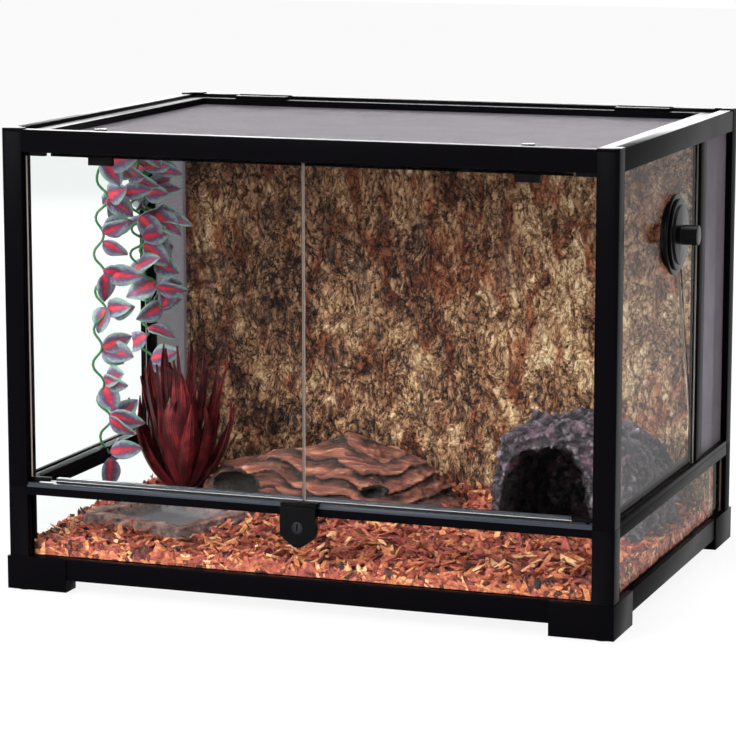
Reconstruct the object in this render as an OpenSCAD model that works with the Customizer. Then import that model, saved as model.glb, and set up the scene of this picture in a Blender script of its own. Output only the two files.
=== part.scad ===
/* [Case] */
// Outside width of the posts and rails
case_w = 600; // [580:5:640]
// Outside depth of the posts and rails
case_d = 450; // [430:5:480]
// Height from the table to the top of the corner caps
case_h = 445; // [425:5:480]
// Face width of a post, and depth of every rail
bar_w = 20.5; // [19:0.5:24]
// Height of the seam between the base tray and the upper case
seam_z = 102.5; // [96:0.5:112]
// Radius on the outer upright edge of a post
post_round = 3.5; // [2:0.5:6]

/* [Base tray] */
// Height of a corner shoe's foot
foot_h = 34; // [30:1:40]
// Length of a foot along the front
foot_len_x = 61.5; // [50:0.5:80]
// Length of a foot along the side
foot_len_y = 65; // [50:0.5:80]
// How far a foot stands proud of the rails
foot_proud = 1.2; // [0.8:0.1:2]
// Thickness of the rubber pad under a foot
pad_t = 2; // [1.5:0.5:3]
// Height of the underside of the bottom rails
rail_z = 13.5; // [10:0.5:18]
// Height of the band over the front lower glass
band_h = 7.5; // [7:0.5:10]
// Height of the band over the other lower glasses
side_band_h = 10.5; // [8:0.5:14]
// Height of the floor pane's underside
floor_z = 20; // [17:0.5:24]

/* [Upper case] */
// Height of the side and rear sills over the seam
sill_h = 4.5; // [3.5:0.5:7]
// Height of the door stop of the front sill over the seam
door_stop_h = 7.5; // [6:0.5:10]
// Height of the top rails
top_rail_h = 21; // [18:0.5:26]
// Width of the raised outer part of a top rail
top_lip_w = 12.5; // [10:0.5:14]
// Depth of the step inside a top rail that the cover lies in
cover_step = 13.5; // [11:0.5:15]
// Height of a corner cap over the top rails
cap_raise = 1; // [0.5:0.5:2]
// Distance from the front face to the near edge of a vent bar
vent_bar_y = 309; // [280:1:320]
// Width of a vent bar
vent_bar_w = 22; // [16:1:26]

/* [Glass] */
// Thickness of every pane
glass_t = 4; // [3:0.5:5]
// Depth of a pane in its groove
glass_seat = 5; // [3:0.5:6]
// Clearance round a pane in its groove
glass_fit = 0.2; // [0.1:0.05:0.4]
// Distance from the outer face to a side pane
pane_inset = 5; // [4:0.5:8]
// Distance from the front face to the doors
door_inset = 8; // [7:0.5:9]
// Gap between the two doors
door_gap = 1.6; // [1:0.1:3]
// Clearance between a door and the frame
door_fit = 1; // [0.6:0.1:1.2]
// Radius of a door's pivot pin
pivot_r = 1.5; // [1:0.1:2]
// Length of a hinge shoe along the door
shoe_len = 20; // [14:1:26]
// Height of a hinge shoe
shoe_h = 3; // [2.5:0.1:4]

/* [Top cover] */
// Width of the cover's frame bars
cover_bar = 18; // [16:0.5:20]
// Height of the cover's frame bars
cover_h = 10.2; // [9:0.1:11.5]
// Gap between the cover and the top rails
cover_gap = 0.6; // [0.4:0.1:1]
// Thickness of the wire screens
screen_t = 1; // [0.8:0.1:1.5]
// Distance of the cover's hinges and catches from the middle
hinge_x = 207; // [150:1:225]
// Width of a cover hinge
hinge_w = 56; // [40:1:64]
// Radius of a hinge knuckle
knuckle_r = 2.5; // [2:0.1:2.8]
// Radius of a hinge pin
pin_r = 1; // [0.8:0.1:1.2]
// Length of a turning catch on its forward side
catch_reach = 12.4; // [11:0.1:12.8]
// Length of a turning catch on its other side
catch_tail = 12.2; // [10:0.1:18]
// Height of a turning catch's tongue
catch_h = 8; // [6:0.2:12]

/* [Lock and port] */
// Width of the lock housing
lock_w = 35; // [30:1:44]
// Height of the lock housing's lower end
lock_z = 66; // [60:1:72]
// How far the lock stands proud of the front
lock_proud = 8; // [7:0.5:10]
// Radius of the lock barrel
barrel_r = 5.7; // [5:0.1:6.5]
// Lift of the lock's catch
lock_lift = 4.4; // [4:0.1:4.6]
// Radius of the port's outer ring
port_r = 38.5; // [34:0.5:42]
// Radius of the port's bore
port_bore_r = 22.5; // [18:0.5:25]
// Length of the port's knob
port_knob_len = 16; // [12:1:20]
// Distance of the port from the front face
port_y = 217; // [190:1:240]
// Depth of the port's centre below the top of the case
port_drop = 101; // [85:1:125]

/* [Furnishings] */
// Mean height of the bark chips
chips_z = 47; // [44:1:50]
// Thickness of the bark background
board_t = 24; // [20:1:28]
// Distance from the rear face to the back of the background
board_back = 37; // [34:1:44]
// Width of the cave
cave_w = 164; // [130:2:168]
// Height of the cave
cave_h = 120; // [100:2:130]
// Depth of the cave
cave_d = 158; // [120:2:165]
// Width of the cave's mouth
mouth_w = 90; // [70:1:100]
// Height of the cave's mouth
mouth_h = 92; // [70:1:96]
// Height of the dish
dish_h = 18; // [14:1:24]
// Width of the dish
dish_w = 141; // [120:1:150]
// Depth of the dish
dish_d = 130; // [110:1:140]
// Width of the dish's flat rim
dish_rim = 17; // [8:1:20]
// Turn of the dish
dish_turn = -18; // [-30:1:0]
// Distance from the left face to the middle of the dish
dish_x = 108; // [106:1:120]
// Distance from the front face to the middle of the dish
dish_y = 139; // [134:1:145]
// Height of the red plant's leaves
plant_h = 150; // [110:5:170]
// Distance from the left face to the middle of the red plant
plant_x = 74; // [70:1:80]
// Distance from the front face to the middle of the red plant
plant_y = 247; // [240:1:260]
// Length of the driftwood
wood_len = 262; // [220:2:280]
// Half width of the driftwood
wood_wide = 48; // [40:1:50]
// Height of the driftwood over the chips
wood_high = 60; // [45:1:70]
// Distance from the left face to the middle of the driftwood
wood_x = 230; // [226:1:240]
// Distance from the front face to the middle of the driftwood
wood_y = 270; // [262:1:272]
// Radius of the suction cup
cup_r = 19.5; // [15:0.5:24]
// Distance from the front face to the suction cup
cup_y = 235; // [220:1:250]
// Depth of the suction cup below the top of the case
cup_drop = 99; // [85:1:120]

/* [Hidden] */
$fn = 48;

// Clearances: sliding and turning pieces, shafts in bores, loose furnishings
slide_fit = 0.4;
bore_fit = 0.05;
rest_fit = 0.3;
sill_seat = 3;
// Depth of the wire screen in the cover's frame
screen_seat = 2;
eps = 0.01;

hx = case_w / 2;
hy = case_d / 2;
in_x = hx - bar_w;
in_y = hy - bar_w;
rail_top = case_h - cap_raise;
rail_under = rail_top - top_rail_h;
step_z = rail_top - cover_step;
cap_pin_x = hx - top_lip_w / 2;
cap_pin_y = hy - top_lip_w / 2;
base_top = foot_h;
foot_w = bar_w + foot_proud;
tenon = 10;
tenon_len = 18;
tenon_z = (rail_z + base_top) / 2;

pane_x1 = hx - pane_inset;
pane_x0 = pane_x1 - glass_t;
low_y1 = hy - 9;
low_y0 = low_y1 - glass_t;
rear_y0 = in_y + 1.5;
floor_top = floor_z + glass_t;
side_sill_top = seam_z + sill_h;
bar_y0 = vent_bar_y - hy;
bar_y1 = bar_y0 + vent_bar_w;

door_y0 = -hy + door_inset;
door_y1 = door_y0 + glass_t;
door_z0 = seam_z + 5.3;
door_z1 = rail_under - 1.2;
door_x1 = in_x - door_fit + 0.1;
shoe_t = glass_t + 2;
pivot_x = door_x1 - 6;
pivot_y = (door_y0 + door_y1) / 2;
pivot_len = 6.5;
// How far the doors' upper stop hangs below the front rail
stop_drop = 4.5;
stop_x = door_x1 - shoe_len - 4;

cover_x = hx - top_lip_w - cover_gap;
cover_y = hy - top_lip_w - cover_gap;
cover_z0 = step_z + rest_fit;
cover_z1 = cover_z0 + cover_h;
screen_z = cover_z0 + 2.8;
axis_y = hy - top_lip_w - 0.5;
axis_z = cover_z1 + 1.5;
notch_y = axis_y + knuckle_r + 4;
notch_z = axis_z - 8;
catch_x = hinge_x + 2;
catch_y = -cover_y + 12.9;
spindle_r = 2.5;
catch_top = rail_under - stop_drop - slide_fit;

lock_axis_z = seam_z - 17.5;
lock_top = seam_z + 1.8;
lock_cap_z0 = seam_z + 2.2;
lock_cap_z1 = door_z0 - 0.4;
barrel_proud = 0.6;
spindle_lock_r = 1.9;
crank_r = 0.9;
stem_r = 1.6;
// Depth of the furnishings' roots in the chips
root = 8;

port_z = case_h - port_drop;
port_pos = [pane_x1, port_y - hy, port_z];
port_ring_t = 3.4;
port_cap_t = 5;
port_reach = port_ring_t + port_cap_t + port_knob_len;

// The origin is the middle of the whole footprint, with the port's knob and the lock in it
origin_shift = [
    (hx + foot_proud - (pane_x1 + port_reach)) / 2,
    (hy + lock_proud + barrel_proud - (hy + foot_proud)) / 2,
    0
];

board_y1 = hy - board_back;
board_y0 = board_y1 - board_t;
board_x0 = -in_x + rest_fit;
board_x1 = pane_x0 - rest_fit;
board_z1 = rail_under - 5;

chips_edge = base_top + 2.5;
cave_c = [in_x - cave_w / 2 - 1.5, board_y0 - 40 - cave_d / 2, chips_z + 1];
dish_c = [dish_x - hx, dish_y - hy, chips_z - 7];
plant_pos = [plant_x - hx, plant_y - hy, chips_z + 3];
wood_pos = [wood_x - hx, wood_y - hy, chips_z + 1];
wood_turn = 9;
cup_pos = [-pane_x0, cup_y - hy, case_h - cup_drop];

// ---- shared shapes ----

module block(lo, hi) {
    translate(lo) cube([for (i = [0:2]) hi[i] - lo[i]]);
}

// Solid through rings of points, each ring counter-clockwise as seen from the next one
module loft(rings) {
    n = len(rings[0]);
    m = len(rings);
    points = [for (r = rings) for (p = r) p];
    sides = [
        for (k = [0:m - 2]) for (i = [0:n - 1])
            let (a = k * n + i, b = k * n + (i + 1) % n)
            each [[a, b + n, b], [a, a + n, b + n]]
    ];
    ends = [
        for (i = [1:n - 2]) each [
            [0, i, i + 1],
            [(m - 1) * n, (m - 1) * n + i + 1, (m - 1) * n + i]
        ]
    ];
    polyhedron(points, concat(sides, ends), convexity = 6);
}

// Solid with a flat base and a top that follows a height rule
module heap(x0, x1, y0, y1, nx, ny, z0, top) {
    px = function (i) x0 + (x1 - x0) * i / nx;
    py = function (j) y0 + (y1 - y0) * j / ny;
    at = function (i, j) j * (nx + 1) + i;
    rim = concat(
        [for (i = [0:nx]) [i, 0]], [for (j = [1:ny]) [nx, j]],
        [for (i = [nx - 1:-1:0]) [i, ny]], [for (j = [ny - 1:-1:1]) [0, j]]
    );
    n = (nx + 1) * (ny + 1);
    m = len(rim);
    grid = [for (j = [0:ny]) for (i = [0:nx]) [px(i), py(j), top(px(i), py(j))]];
    base = [for (c = rim) [px(c[0]), py(c[1]), z0]];
    upper = [
        for (j = [0:ny - 1]) for (i = [0:nx - 1]) each [
            [at(i, j), at(i, j + 1), at(i + 1, j + 1)],
            [at(i, j), at(i + 1, j + 1), at(i + 1, j)]
        ]
    ];
    walls = [
        for (k = [0:m - 1])
            let (a = rim[k], b = rim[(k + 1) % m], l = (k + 1) % m)
            each [
                [at(a[0], a[1]), at(b[0], b[1]), n + l],
                [at(a[0], a[1]), n + l, n + k]
            ]
    ];
    middle = [[(x0 + x1) / 2, (y0 + y1) / 2, z0]];
    under = [for (k = [0:m - 1]) [n + k, n + (k + 1) % m, n + m]];
    polyhedron(concat(grid, base, middle), concat(upper, walls, under), convexity = 6);
}

// Unit vector
function unit(v) = v / norm(v);

// Round tube along points, with flat ends
module tube(path, r, sides = 8) {
    m = len(path);
    loft([
        for (k = [0:m - 1])
            let (
                t = unit(path[min(k + 1, m - 1)] - path[max(k - 1, 0)]),
                u = unit(cross(t, abs(t[2]) < 0.9 ? [0, 0, 1] : [1, 0, 0])),
                v = cross(t, u)
            )
            [for (i = [0:sides - 1]) path[k] + r * (cos(360 * i / sides) * u + sin(360 * i / sides) * v)]
    ]);
}

// Pointed leaf from its root at the origin along +X, its middle lifted and its tip drooping
module leaf(length, width, thick, lift, droop) {
    stations = [0, 0.3, 0.65, 1];
    wide = [0.25, 1, 0.75, 0.08];
    loft([
        for (k = [0:3])
            let (
                x = length * stations[k],
                w = width / 2 * wide[k],
                z = lift * sin(180 * stations[k]) - droop * stations[k] * stations[k]
            )
            [[x, -w, z], [x, 0, z - thick / 2], [x, w, z], [x, 0, z + thick / 2]]
    ]);
}

// ---- panes, grown by a clearance where a frame piece is grooved for them ----

module side_pane(side, grow = 0) {
    x = side > 0 ? [pane_x0, pane_x1] : [-pane_x1, -pane_x0];
    block(
        [x[0] - grow, -in_y - glass_seat - grow, side_sill_top - sill_seat - grow],
        [x[1] + grow, bar_y0 + glass_seat + grow, rail_under + glass_seat + grow]
    );
}

module side_screen(side, grow = 0) {
    mid = (pane_x0 + pane_x1) / 2;
    x = side > 0 ? mid : -mid;
    block(
        [x - screen_t / 2 - grow, bar_y1 - 4 - grow, side_sill_top - sill_seat - grow],
        [x + screen_t / 2 + grow, in_y + 4 + grow, rail_under + 4 + grow]
    );
}

module rear_pane(grow = 0) {
    block(
        [-in_x - glass_seat - grow, rear_y0 - grow, side_sill_top - sill_seat - grow],
        [in_x + glass_seat + grow, rear_y0 + glass_t + grow, rail_under + glass_seat + grow]
    );
}

module low_pane_front(grow = 0) {
    block(
        [-in_x - glass_seat - grow, -low_y1 - grow, base_top - glass_seat - grow],
        [in_x + glass_seat + grow, -low_y0 + grow, seam_z - band_h + 4 + grow]
    );
}

module low_pane_rear(grow = 0) {
    block(
        [-in_x - glass_seat - grow, rear_y0 - grow, base_top - glass_seat - grow],
        [in_x + glass_seat + grow, rear_y0 + glass_t + grow, seam_z - side_band_h + 4 + grow]
    );
}

module low_pane_side(side, grow = 0) {
    x = side > 0 ? [pane_x0, pane_x1] : [-pane_x1, -pane_x0];
    block(
        [x[0] - grow, -in_y - 3 - grow, base_top - glass_seat - grow],
        [x[1] + grow, in_y + 3 + grow, seam_z - side_band_h + 4 + grow]
    );
}

module floor_sheet(grow = 0) {
    block(
        [-in_x - 4 - grow, -in_y - 4 - grow, floor_z - grow],
        [in_x + 4 + grow, in_y + 4 + grow, floor_top + grow]
    );
}

module all_panes(grow) {
    for (side = [-1, 1]) {
        side_pane(side, grow);
        side_screen(side, grow);
        low_pane_side(side, grow);
    }
    rear_pane(grow);
    low_pane_front(grow);
    low_pane_rear(grow);
    floor_sheet(grow);
}

// ---- base tray ----

// Post's plan, with the outer upright edge rounded
module post_plan(sx, sy) {
    scale([sx, sy]) difference() {
        translate([in_x, in_y]) square(bar_w);
        translate([hx - post_round, hy - post_round]) difference() {
            square(post_round + 1);
            circle(post_round);
        }
    }
}

module foot(sx, sy) {
    color("#17151a") difference() {
        union() {
            mirror([sx < 0 ? 1 : 0, 0]) mirror([0, sy < 0 ? 1 : 0]) {
                block([hx + foot_proud - foot_len_x, hy + foot_proud - foot_w, pad_t],
                      [hx + foot_proud, hy + foot_proud, foot_h]);
                block([hx + foot_proud - foot_w, hy + foot_proud - foot_len_y, pad_t],
                      [hx + foot_proud, hy + foot_proud, foot_h]);
            }
            translate([0, 0, foot_h - eps]) linear_extrude(seam_z - foot_h + eps) post_plan(sx, sy);
        }
        all_panes(glass_fit);
        tenon_bar([0, sy * (hy - bar_w / 2), tenon_z], 2 * tenon_reach_x(), 0, bore_fit * 4);
        tenon_bar([sx * (hx - bar_w / 2), 0, tenon_z], 0, 2 * tenon_reach_y(), bore_fit * 4);
        // Room under the rails for the pads
        corner_pad(sx, sy, 0.6, pad_t - 0.8);
    }
}

function rail_end_x() = hx + foot_proud - foot_len_x;
function rail_end_y() = hy + foot_proud - foot_len_y;
function tenon_reach_x() = rail_end_x() + tenon_len;
function tenon_reach_y() = rail_end_y() + tenon_len;

// Square core of a rail, longer than its outside at both ends
module tenon_bar(centre, len_x, len_y, grow) {
    size = [len_x > 0 ? len_x : tenon, len_y > 0 ? len_y : tenon, tenon];
    translate(centre) cube([for (s = size) s + 2 * grow], center = true);
}

module corner_pad(sx, sy, grow, top) {
    at = [sx * (hx + foot_proud - 14), sy * (hy + foot_proud - 14), 0];
    translate(at) cylinder(r = 9 + grow, h = top + 2);
}

module foot_pads() {
    color("#2b2a2d") for (sx = [-1, 1]) for (sy = [-1, 1])
        translate([sx * (hx + foot_proud - 14), sy * (hy + foot_proud - 14), 0])
            cylinder(r = 9, h = pad_t + 1.2 - eps);
}

module base_rail(side_y) {
    color("#1c1a20") difference() {
        union() {
            block([-rail_end_x(), side_y > 0 ? in_y : -hy, rail_z],
                  [rail_end_x(), side_y > 0 ? hy : -in_y, base_top]);
            tenon_bar([0, side_y * (hy - bar_w / 2), tenon_z], 2 * tenon_reach_x() - 1, 0, 0);
        }
        all_panes(glass_fit);
    }
}

module base_rail_side(side_x) {
    color("#1c1a20") difference() {
        union() {
            block([side_x > 0 ? in_x : -hx, -rail_end_y(), rail_z],
                  [side_x > 0 ? hx : -in_x, rail_end_y(), base_top]);
            tenon_bar([side_x * (hx - bar_w / 2), 0, tenon_z], 0, 2 * tenon_reach_y() - 1, 0);
        }
        all_panes(glass_fit);
    }
}

module floor_pane() {
    color("#9fb0a8", 0.5) floor_sheet();
}

module low_glass_front() {
    color("#c8dcd8", 0.35) low_pane_front();
}

module low_glass_rear() {
    color("#c8dcd8", 0.35) low_pane_rear();
}

module low_glass_side(side) {
    color("#c8dcd8", 0.35) low_pane_side(side);
}

// Band or sill along the front or rear, between the posts
module cross_bar(side_y, z0, z1) {
    block([-in_x, side_y > 0 ? in_y : -hy, z0], [in_x, side_y > 0 ? hy : -in_y, z1]);
}

// Band or sill along a side, between the posts
module side_bar(side_x, z0, z1) {
    block([side_x > 0 ? in_x : -hx, -in_y, z0], [side_x > 0 ? hx : -in_x, in_y, z1]);
}

module pivot_holes(z, depth) {
    for (side = [-1, 1])
        translate([side * pivot_x, pivot_y, z]) cylinder(r = pivot_r + bore_fit, h = depth);
}

module band_front() {
    color("#1c1a20") difference() {
        cross_bar(-1, seam_z - band_h, seam_z);
        low_pane_front(glass_fit);
        pivot_holes(seam_z - 3, 4);
    }
}

module band_rear() {
    color("#1c1a20") difference() {
        cross_bar(1, seam_z - side_band_h, seam_z);
        low_pane_rear(glass_fit);
    }
}

module band_side(side) {
    color("#1c1a20") difference() {
        side_bar(side, seam_z - side_band_h, seam_z);
        low_pane_side(side, glass_fit);
    }
}

// ---- upper case ----

module sill_front() {
    ridge_z = door_z0 - 1.3;
    color("#232028") difference() {
        union() {
            cross_bar(-1, seam_z, seam_z + 2);
            block([-in_x, -hy + 1.5, seam_z], [in_x, door_y0 - 2, ridge_z]);
            block([-stop_x, door_y1 + 0.4, seam_z], [stop_x, -in_y - 1.5, seam_z + door_stop_h]);
        }
        // The lock's cap lies in this gap of the front ridge
        block([-lock_w / 2 - slide_fit, -hy - 1, seam_z + 2], [lock_w / 2 + slide_fit, door_y0 - 1, ridge_z + 1]);
        pivot_holes(seam_z - 1, 4);
    }
}

module sill_rear() {
    color("#232028") difference() {
        cross_bar(1, seam_z, side_sill_top);
        rear_pane(glass_fit);
    }
}

module sill_side(side) {
    color("#232028") difference() {
        side_bar(side, seam_z, side_sill_top);
        side_pane(side, glass_fit);
        side_screen(side, glass_fit);
    }
}

module post(sx, sy) {
    color("#17151a") difference() {
        translate([0, 0, seam_z]) linear_extrude(rail_top - 2 - seam_z) post_plan(sx, sy);
        all_panes(glass_fit);
        cover_corner(sx, sy);
        // Screw hole under the cap
        translate([sx * cap_pin_x, sy * cap_pin_y, rail_top - 14]) cylinder(r = 2, h = 20);
    }
}

// Step in a post and its cap that the cover's corner lies in
module cover_corner(sx, sy) {
    scale([sx, sy, 1]) block([in_x - 1, in_y - 1, step_z], [hx - top_lip_w, hy - top_lip_w, case_h + 1]);
}

module corner_caps() {
    color("#232028") for (sx = [-1, 1]) for (sy = [-1, 1]) {
        difference() {
            translate([0, 0, rail_top - 2]) linear_extrude(2 + cap_raise) post_plan(sx, sy);
            cover_corner(sx, sy);
        }
        translate([sx * cap_pin_x, sy * cap_pin_y, rail_top - 11]) cylinder(r = 2 - bore_fit, h = 10);
    }
}

// Section of a top rail, its outer face at 0 and its inside towards +X
module top_section() {
    polygon([
        [0, rail_under], [bar_w, rail_under], [bar_w, step_z], [top_lip_w, step_z],
        [top_lip_w, rail_top - 0.6], [top_lip_w - 0.6, rail_top], [0.8, rail_top], [0, rail_top - 0.8]
    ]);
}

module top_rail_front() {
    color("#232028") difference() {
        union() {
            translate([-in_x, -hy, 0]) rotate([90, 0, 90]) linear_extrude(2 * in_x) top_section();
            block([-stop_x, door_y1 + 0.4, rail_under - stop_drop], [stop_x, door_y1 + 3.2, rail_under]);
        }
        pivot_holes(rail_under - 1, pivot_len + 2);
    }
}

module top_rail_rear() {
    color("#232028") difference() {
        translate([in_x, hy, 0]) rotate([90, 0, -90]) linear_extrude(2 * in_x) top_section();
        rear_pane(glass_fit);
        for (side = [-1, 1]) hinge_room(side);
    }
}

// Recess in the rear rail that a cover hinge sits in
module hinge_room(side) {
    block([side * hinge_x - hinge_w / 2 - 0.5, axis_y - knuckle_r - 1, notch_z],
          [side * hinge_x + hinge_w / 2 + 0.5, notch_y, rail_top + 1]);
}

module top_rail_side(side) {
    color("#232028") difference() {
        scale([side, 1, 1]) translate([hx, -in_y, 0]) mirror([1, 0, 0]) translate([0, 2 * in_y, 0])
            rotate([90, 0, 0]) linear_extrude(2 * in_y) top_section();
        side_pane(side, glass_fit);
        side_screen(side, glass_fit);
    }
}

module side_glass(side) {
    color("#c8dcd8", 0.35) difference() {
        side_pane(side);
        if (side > 0)
            translate([pane_x0 - 1, port_pos[1], port_z]) rotate([0, 90, 0])
                cylinder(r = port_bore_r + 3.5, h = glass_t + 2);
    }
}

module rear_glass() {
    color("#c8dcd8", 0.35) rear_pane();
}

module vent_bars() {
    color("#1c1a20") for (side = [-1, 1]) difference() {
        block([side > 0 ? pane_x0 - 3 : -pane_x1 - 3, bar_y0, side_sill_top],
              [side > 0 ? pane_x1 + 3 : -pane_x0 + 3, bar_y1, rail_under]);
        side_pane(side, glass_fit);
        side_screen(side, glass_fit);
    }
}

module vent_screens() {
    color("#77727c") for (side = [-1, 1]) side_screen(side);
}

// ---- doors: right-hand door, mirrored for the left ----

module door_glass() {
    color("#c8dcd8", 0.35) difference() {
        block([door_gap / 2, door_y0, door_z0], [door_x1, door_y1, door_z1]);
        for (z = [door_z0 - 1, door_z1 - shoe_h])
            block([door_x1 - shoe_len, door_y0 - 1, z], [door_x1 + 1, door_y1 + 1, z + shoe_h + 1]);
    }
}

module door_shoes() {
    mid = (door_y0 + door_y1) / 2;
    color("#17151a") {
        block([door_x1 - shoe_len, mid - shoe_t / 2, door_z0 - 0.5],
              [door_x1, mid + shoe_t / 2, door_z0 + shoe_h]);
        translate([pivot_x, pivot_y, door_z0 - 0.5 - pivot_len]) cylinder(r = pivot_r, h = pivot_len + 1);
        block([door_x1 - shoe_len, mid - shoe_t / 2, door_z1 - shoe_h],
              [door_x1, mid + shoe_t / 2, door_z1 + 0.5]);
        translate([pivot_x, pivot_y, door_z1 - 0.5]) cylinder(r = pivot_r, h = pivot_len + 1);
    }
}

// ---- lock ----

// Shield-shaped face of the lock, in the X-Z plane
module lock_face(grow = 0) {
    r = 9 + grow;
    hull() {
        for (side = [-1, 1]) {
            translate([side * (lock_w / 2 - 9), lock_z + 15]) circle(r, $fn = 32);
            translate([side * (lock_w / 2 - 3), lock_top - 3]) square(6 + 2 * grow, center = true);
        }
        translate([0, lock_z + 9]) circle(r, $fn = 32);
    }
}

module lock_housing() {
    front = -hy - lock_proud;
    color("#131216") difference() {
        union() {
            translate([0, -hy, 0]) rotate([90, 0, 0]) linear_extrude(lock_proud) lock_face();
            // Back of the housing, under the band and in front of the lower glass
            block([-lock_w / 2 + 5, -hy - eps, lock_z + 12],
                  [lock_w / 2 - 5, -low_y1 - rest_fit, seam_z - band_h]);
        }
        // Shaft that the catch slides in
        block([-8 - slide_fit, front + 2.6, lock_axis_z - 14],
              [8 + slide_fit, front + 5.8, lock_top + 1]);
        translate([0, front - 1, lock_axis_z]) rotate([-90, 0, 0]) cylinder(r = barrel_r + bore_fit, h = 3.7);
        translate([0, front - 1, lock_axis_z]) rotate([-90, 0, 0]) cylinder(r = spindle_lock_r + bore_fit, h = 11);
    }
}

module lock_barrel() {
    front = -hy - lock_proud;
    color("#3a393e") difference() {
        union() {
            translate([0, front - barrel_proud, lock_axis_z]) rotate([-90, 0, 0])
                cylinder(r = barrel_r, h = barrel_proud + 2.5);
            translate([0, front + 2.4, lock_axis_z]) rotate([-90, 0, 0]) cylinder(r = spindle_lock_r, h = 6.5);
            // Crank pin that lifts the catch
            translate([lock_lift, front + 2.4, lock_axis_z]) rotate([-90, 0, 0]) cylinder(r = crank_r, h = 3);
        }
        block([-0.7, front - 1, lock_axis_z - 3.2], [0.7, front + 1.4, lock_axis_z + 3.2]);
    }
}

module lock_catch() {
    front = -hy - lock_proud;
    color("#131216") difference() {
        union() {
            block([-8, front + 3, lock_axis_z - 8], [8, front + 5.4, lock_cap_z1]);
            // Cap that stands before the doors when it is lifted
            block([-lock_w / 2, front + 1.6, lock_cap_z0], [lock_w / 2, door_y0 - 1, lock_cap_z1]);
        }
        // Slot for the crank pin, with room for the barrel's spindle
        block([-crank_r - slide_fit, front, lock_axis_z - crank_r - slide_fit],
              [lock_lift + crank_r + slide_fit, front + 7, lock_axis_z + crank_r + 1.5]);
        block([-spindle_lock_r - slide_fit, front, lock_axis_z - lock_lift - spindle_lock_r - slide_fit],
              [spindle_lock_r + slide_fit, front + 7, lock_axis_z + spindle_lock_r + slide_fit]);
    }
}

// ---- top cover ----

module cover_frame() {
    well = [cover_x - cover_bar, cover_y - cover_bar];
    color("#232028") difference() {
        union() {
            block([-cover_x, -cover_y, cover_z0], [cover_x, cover_y, cover_z1]);
            for (side = [-1, 1])
                block([side * catch_x - 23, catch_y - 5, cover_z1], [side * catch_x + 23, catch_y + 5, cover_z1 + 1.2]);
        }
        block([-well[0], -well[1], cover_z0 - 1], [well[0], well[1], cover_z1 + 1]);
        cover_sheet(glass_fit);
        for (side = [-1, 1]) {
            // Relief for the hinge knuckles
            block([side * hinge_x - hinge_w / 2 - 1, axis_y - knuckle_r - 0.6, axis_z - knuckle_r - 0.8],
                  [side * hinge_x + hinge_w / 2 + 1, cover_y + 1, cover_z1 + 1]);
            translate([side * catch_x, catch_y, cover_z0 - 1]) cylinder(r = spindle_r + bore_fit, h = cover_h + 4);
        }
    }
}

module cover_sheet(grow = 0) {
    x = cover_x - cover_bar + screen_seat + grow;
    y = cover_y - cover_bar + screen_seat + grow;
    block([-x, -y, screen_z - grow], [x, y, screen_z + screen_t + grow]);
}

module cover_screen() {
    color("#77727c") cover_sheet();
}

module cover_hinge_leaves() {
    color("#4a4650") for (side = [-1, 1]) translate([side * hinge_x, 0, 0]) difference() {
        union() {
            block([-hinge_w / 2, cover_y - cover_bar + 3, cover_z1],
                  [hinge_w / 2, axis_y - knuckle_r - 0.7, axis_z + 1.6]);
            block([-hinge_w / 6 + 0.3, axis_y - knuckle_r - 1, cover_z1 + 0.2],
                  [hinge_w / 6 - 0.3, axis_y, axis_z + 1.6]);
            translate([-hinge_w / 6 + 0.3, axis_y, axis_z]) rotate([0, 90, 0])
                cylinder(r = knuckle_r, h = hinge_w / 3 - 0.6);
        }
        translate([-hinge_w / 2, axis_y, axis_z]) rotate([0, 90, 0]) cylinder(r = pin_r + bore_fit, h = hinge_w);
    }
}

module cover_hinge_bases() {
    color("#4a4650") for (side = [-1, 1]) translate([side * hinge_x, 0, 0]) difference() {
        union() {
            block([-hinge_w / 2, axis_y + knuckle_r + 0.4, notch_z], [hinge_w / 2, notch_y, rail_top + 0.5]);
            for (end = [-1, 1]) {
                x = end > 0 ? hinge_w / 6 : -hinge_w / 2;
                translate([x, axis_y, axis_z]) rotate([0, 90, 0]) cylinder(r = knuckle_r, h = hinge_w / 3);
                block([x, axis_y, axis_z - knuckle_r], [x + hinge_w / 3, axis_y + knuckle_r + 1, axis_z]);
            }
        }
        translate([-hinge_w / 2 - 1, axis_y, axis_z]) rotate([0, 90, 0]) cylinder(r = pin_r, h = hinge_w + 2);
    }
}

module cover_hinge_pins() {
    color("#b9b7bd") for (side = [-1, 1])
        translate([side * hinge_x - hinge_w / 2, axis_y, axis_z]) rotate([0, 90, 0]) cylinder(r = pin_r, h = hinge_w);
}

// Turning catch: knob on the cover, spindle through it and a tongue that turns in under the doors' stop
module turn_catch(side) {
    color("#131216") translate([side * catch_x, catch_y, 0]) scale([side, 1, 1]) {
        difference() {
            translate([0, 0, cover_z1 + 1.4]) cylinder(r = 6, h = 2);
            block([-5, -0.8, cover_z1 + 2.6], [5, 0.8, cover_z1 + 4]);
        }
        translate([0, 0, catch_top - 1]) cylinder(r = spindle_r, h = cover_z1 + 3 - catch_top);
        block([-catch_tail, -2.5, catch_top - catch_h], [catch_reach, 2.5, catch_top]);
    }
}

// ---- port in the right side glass ----

module port_ring() {
    color("#131216") translate(port_pos) rotate([0, 90, 0]) difference() {
        union() {
            cylinder(r = port_r, h = port_ring_t, $fn = 96);
            translate([0, 0, -glass_t]) cylinder(r = port_bore_r + 3.3, h = glass_t + 1);
            translate([0, 0, -glass_t - 3]) cylinder(r = port_bore_r + 9, h = 3);
        }
        translate([0, 0, -glass_t - 4]) cylinder(r = port_bore_r, h = glass_t + port_ring_t + 5);
    }
}

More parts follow.
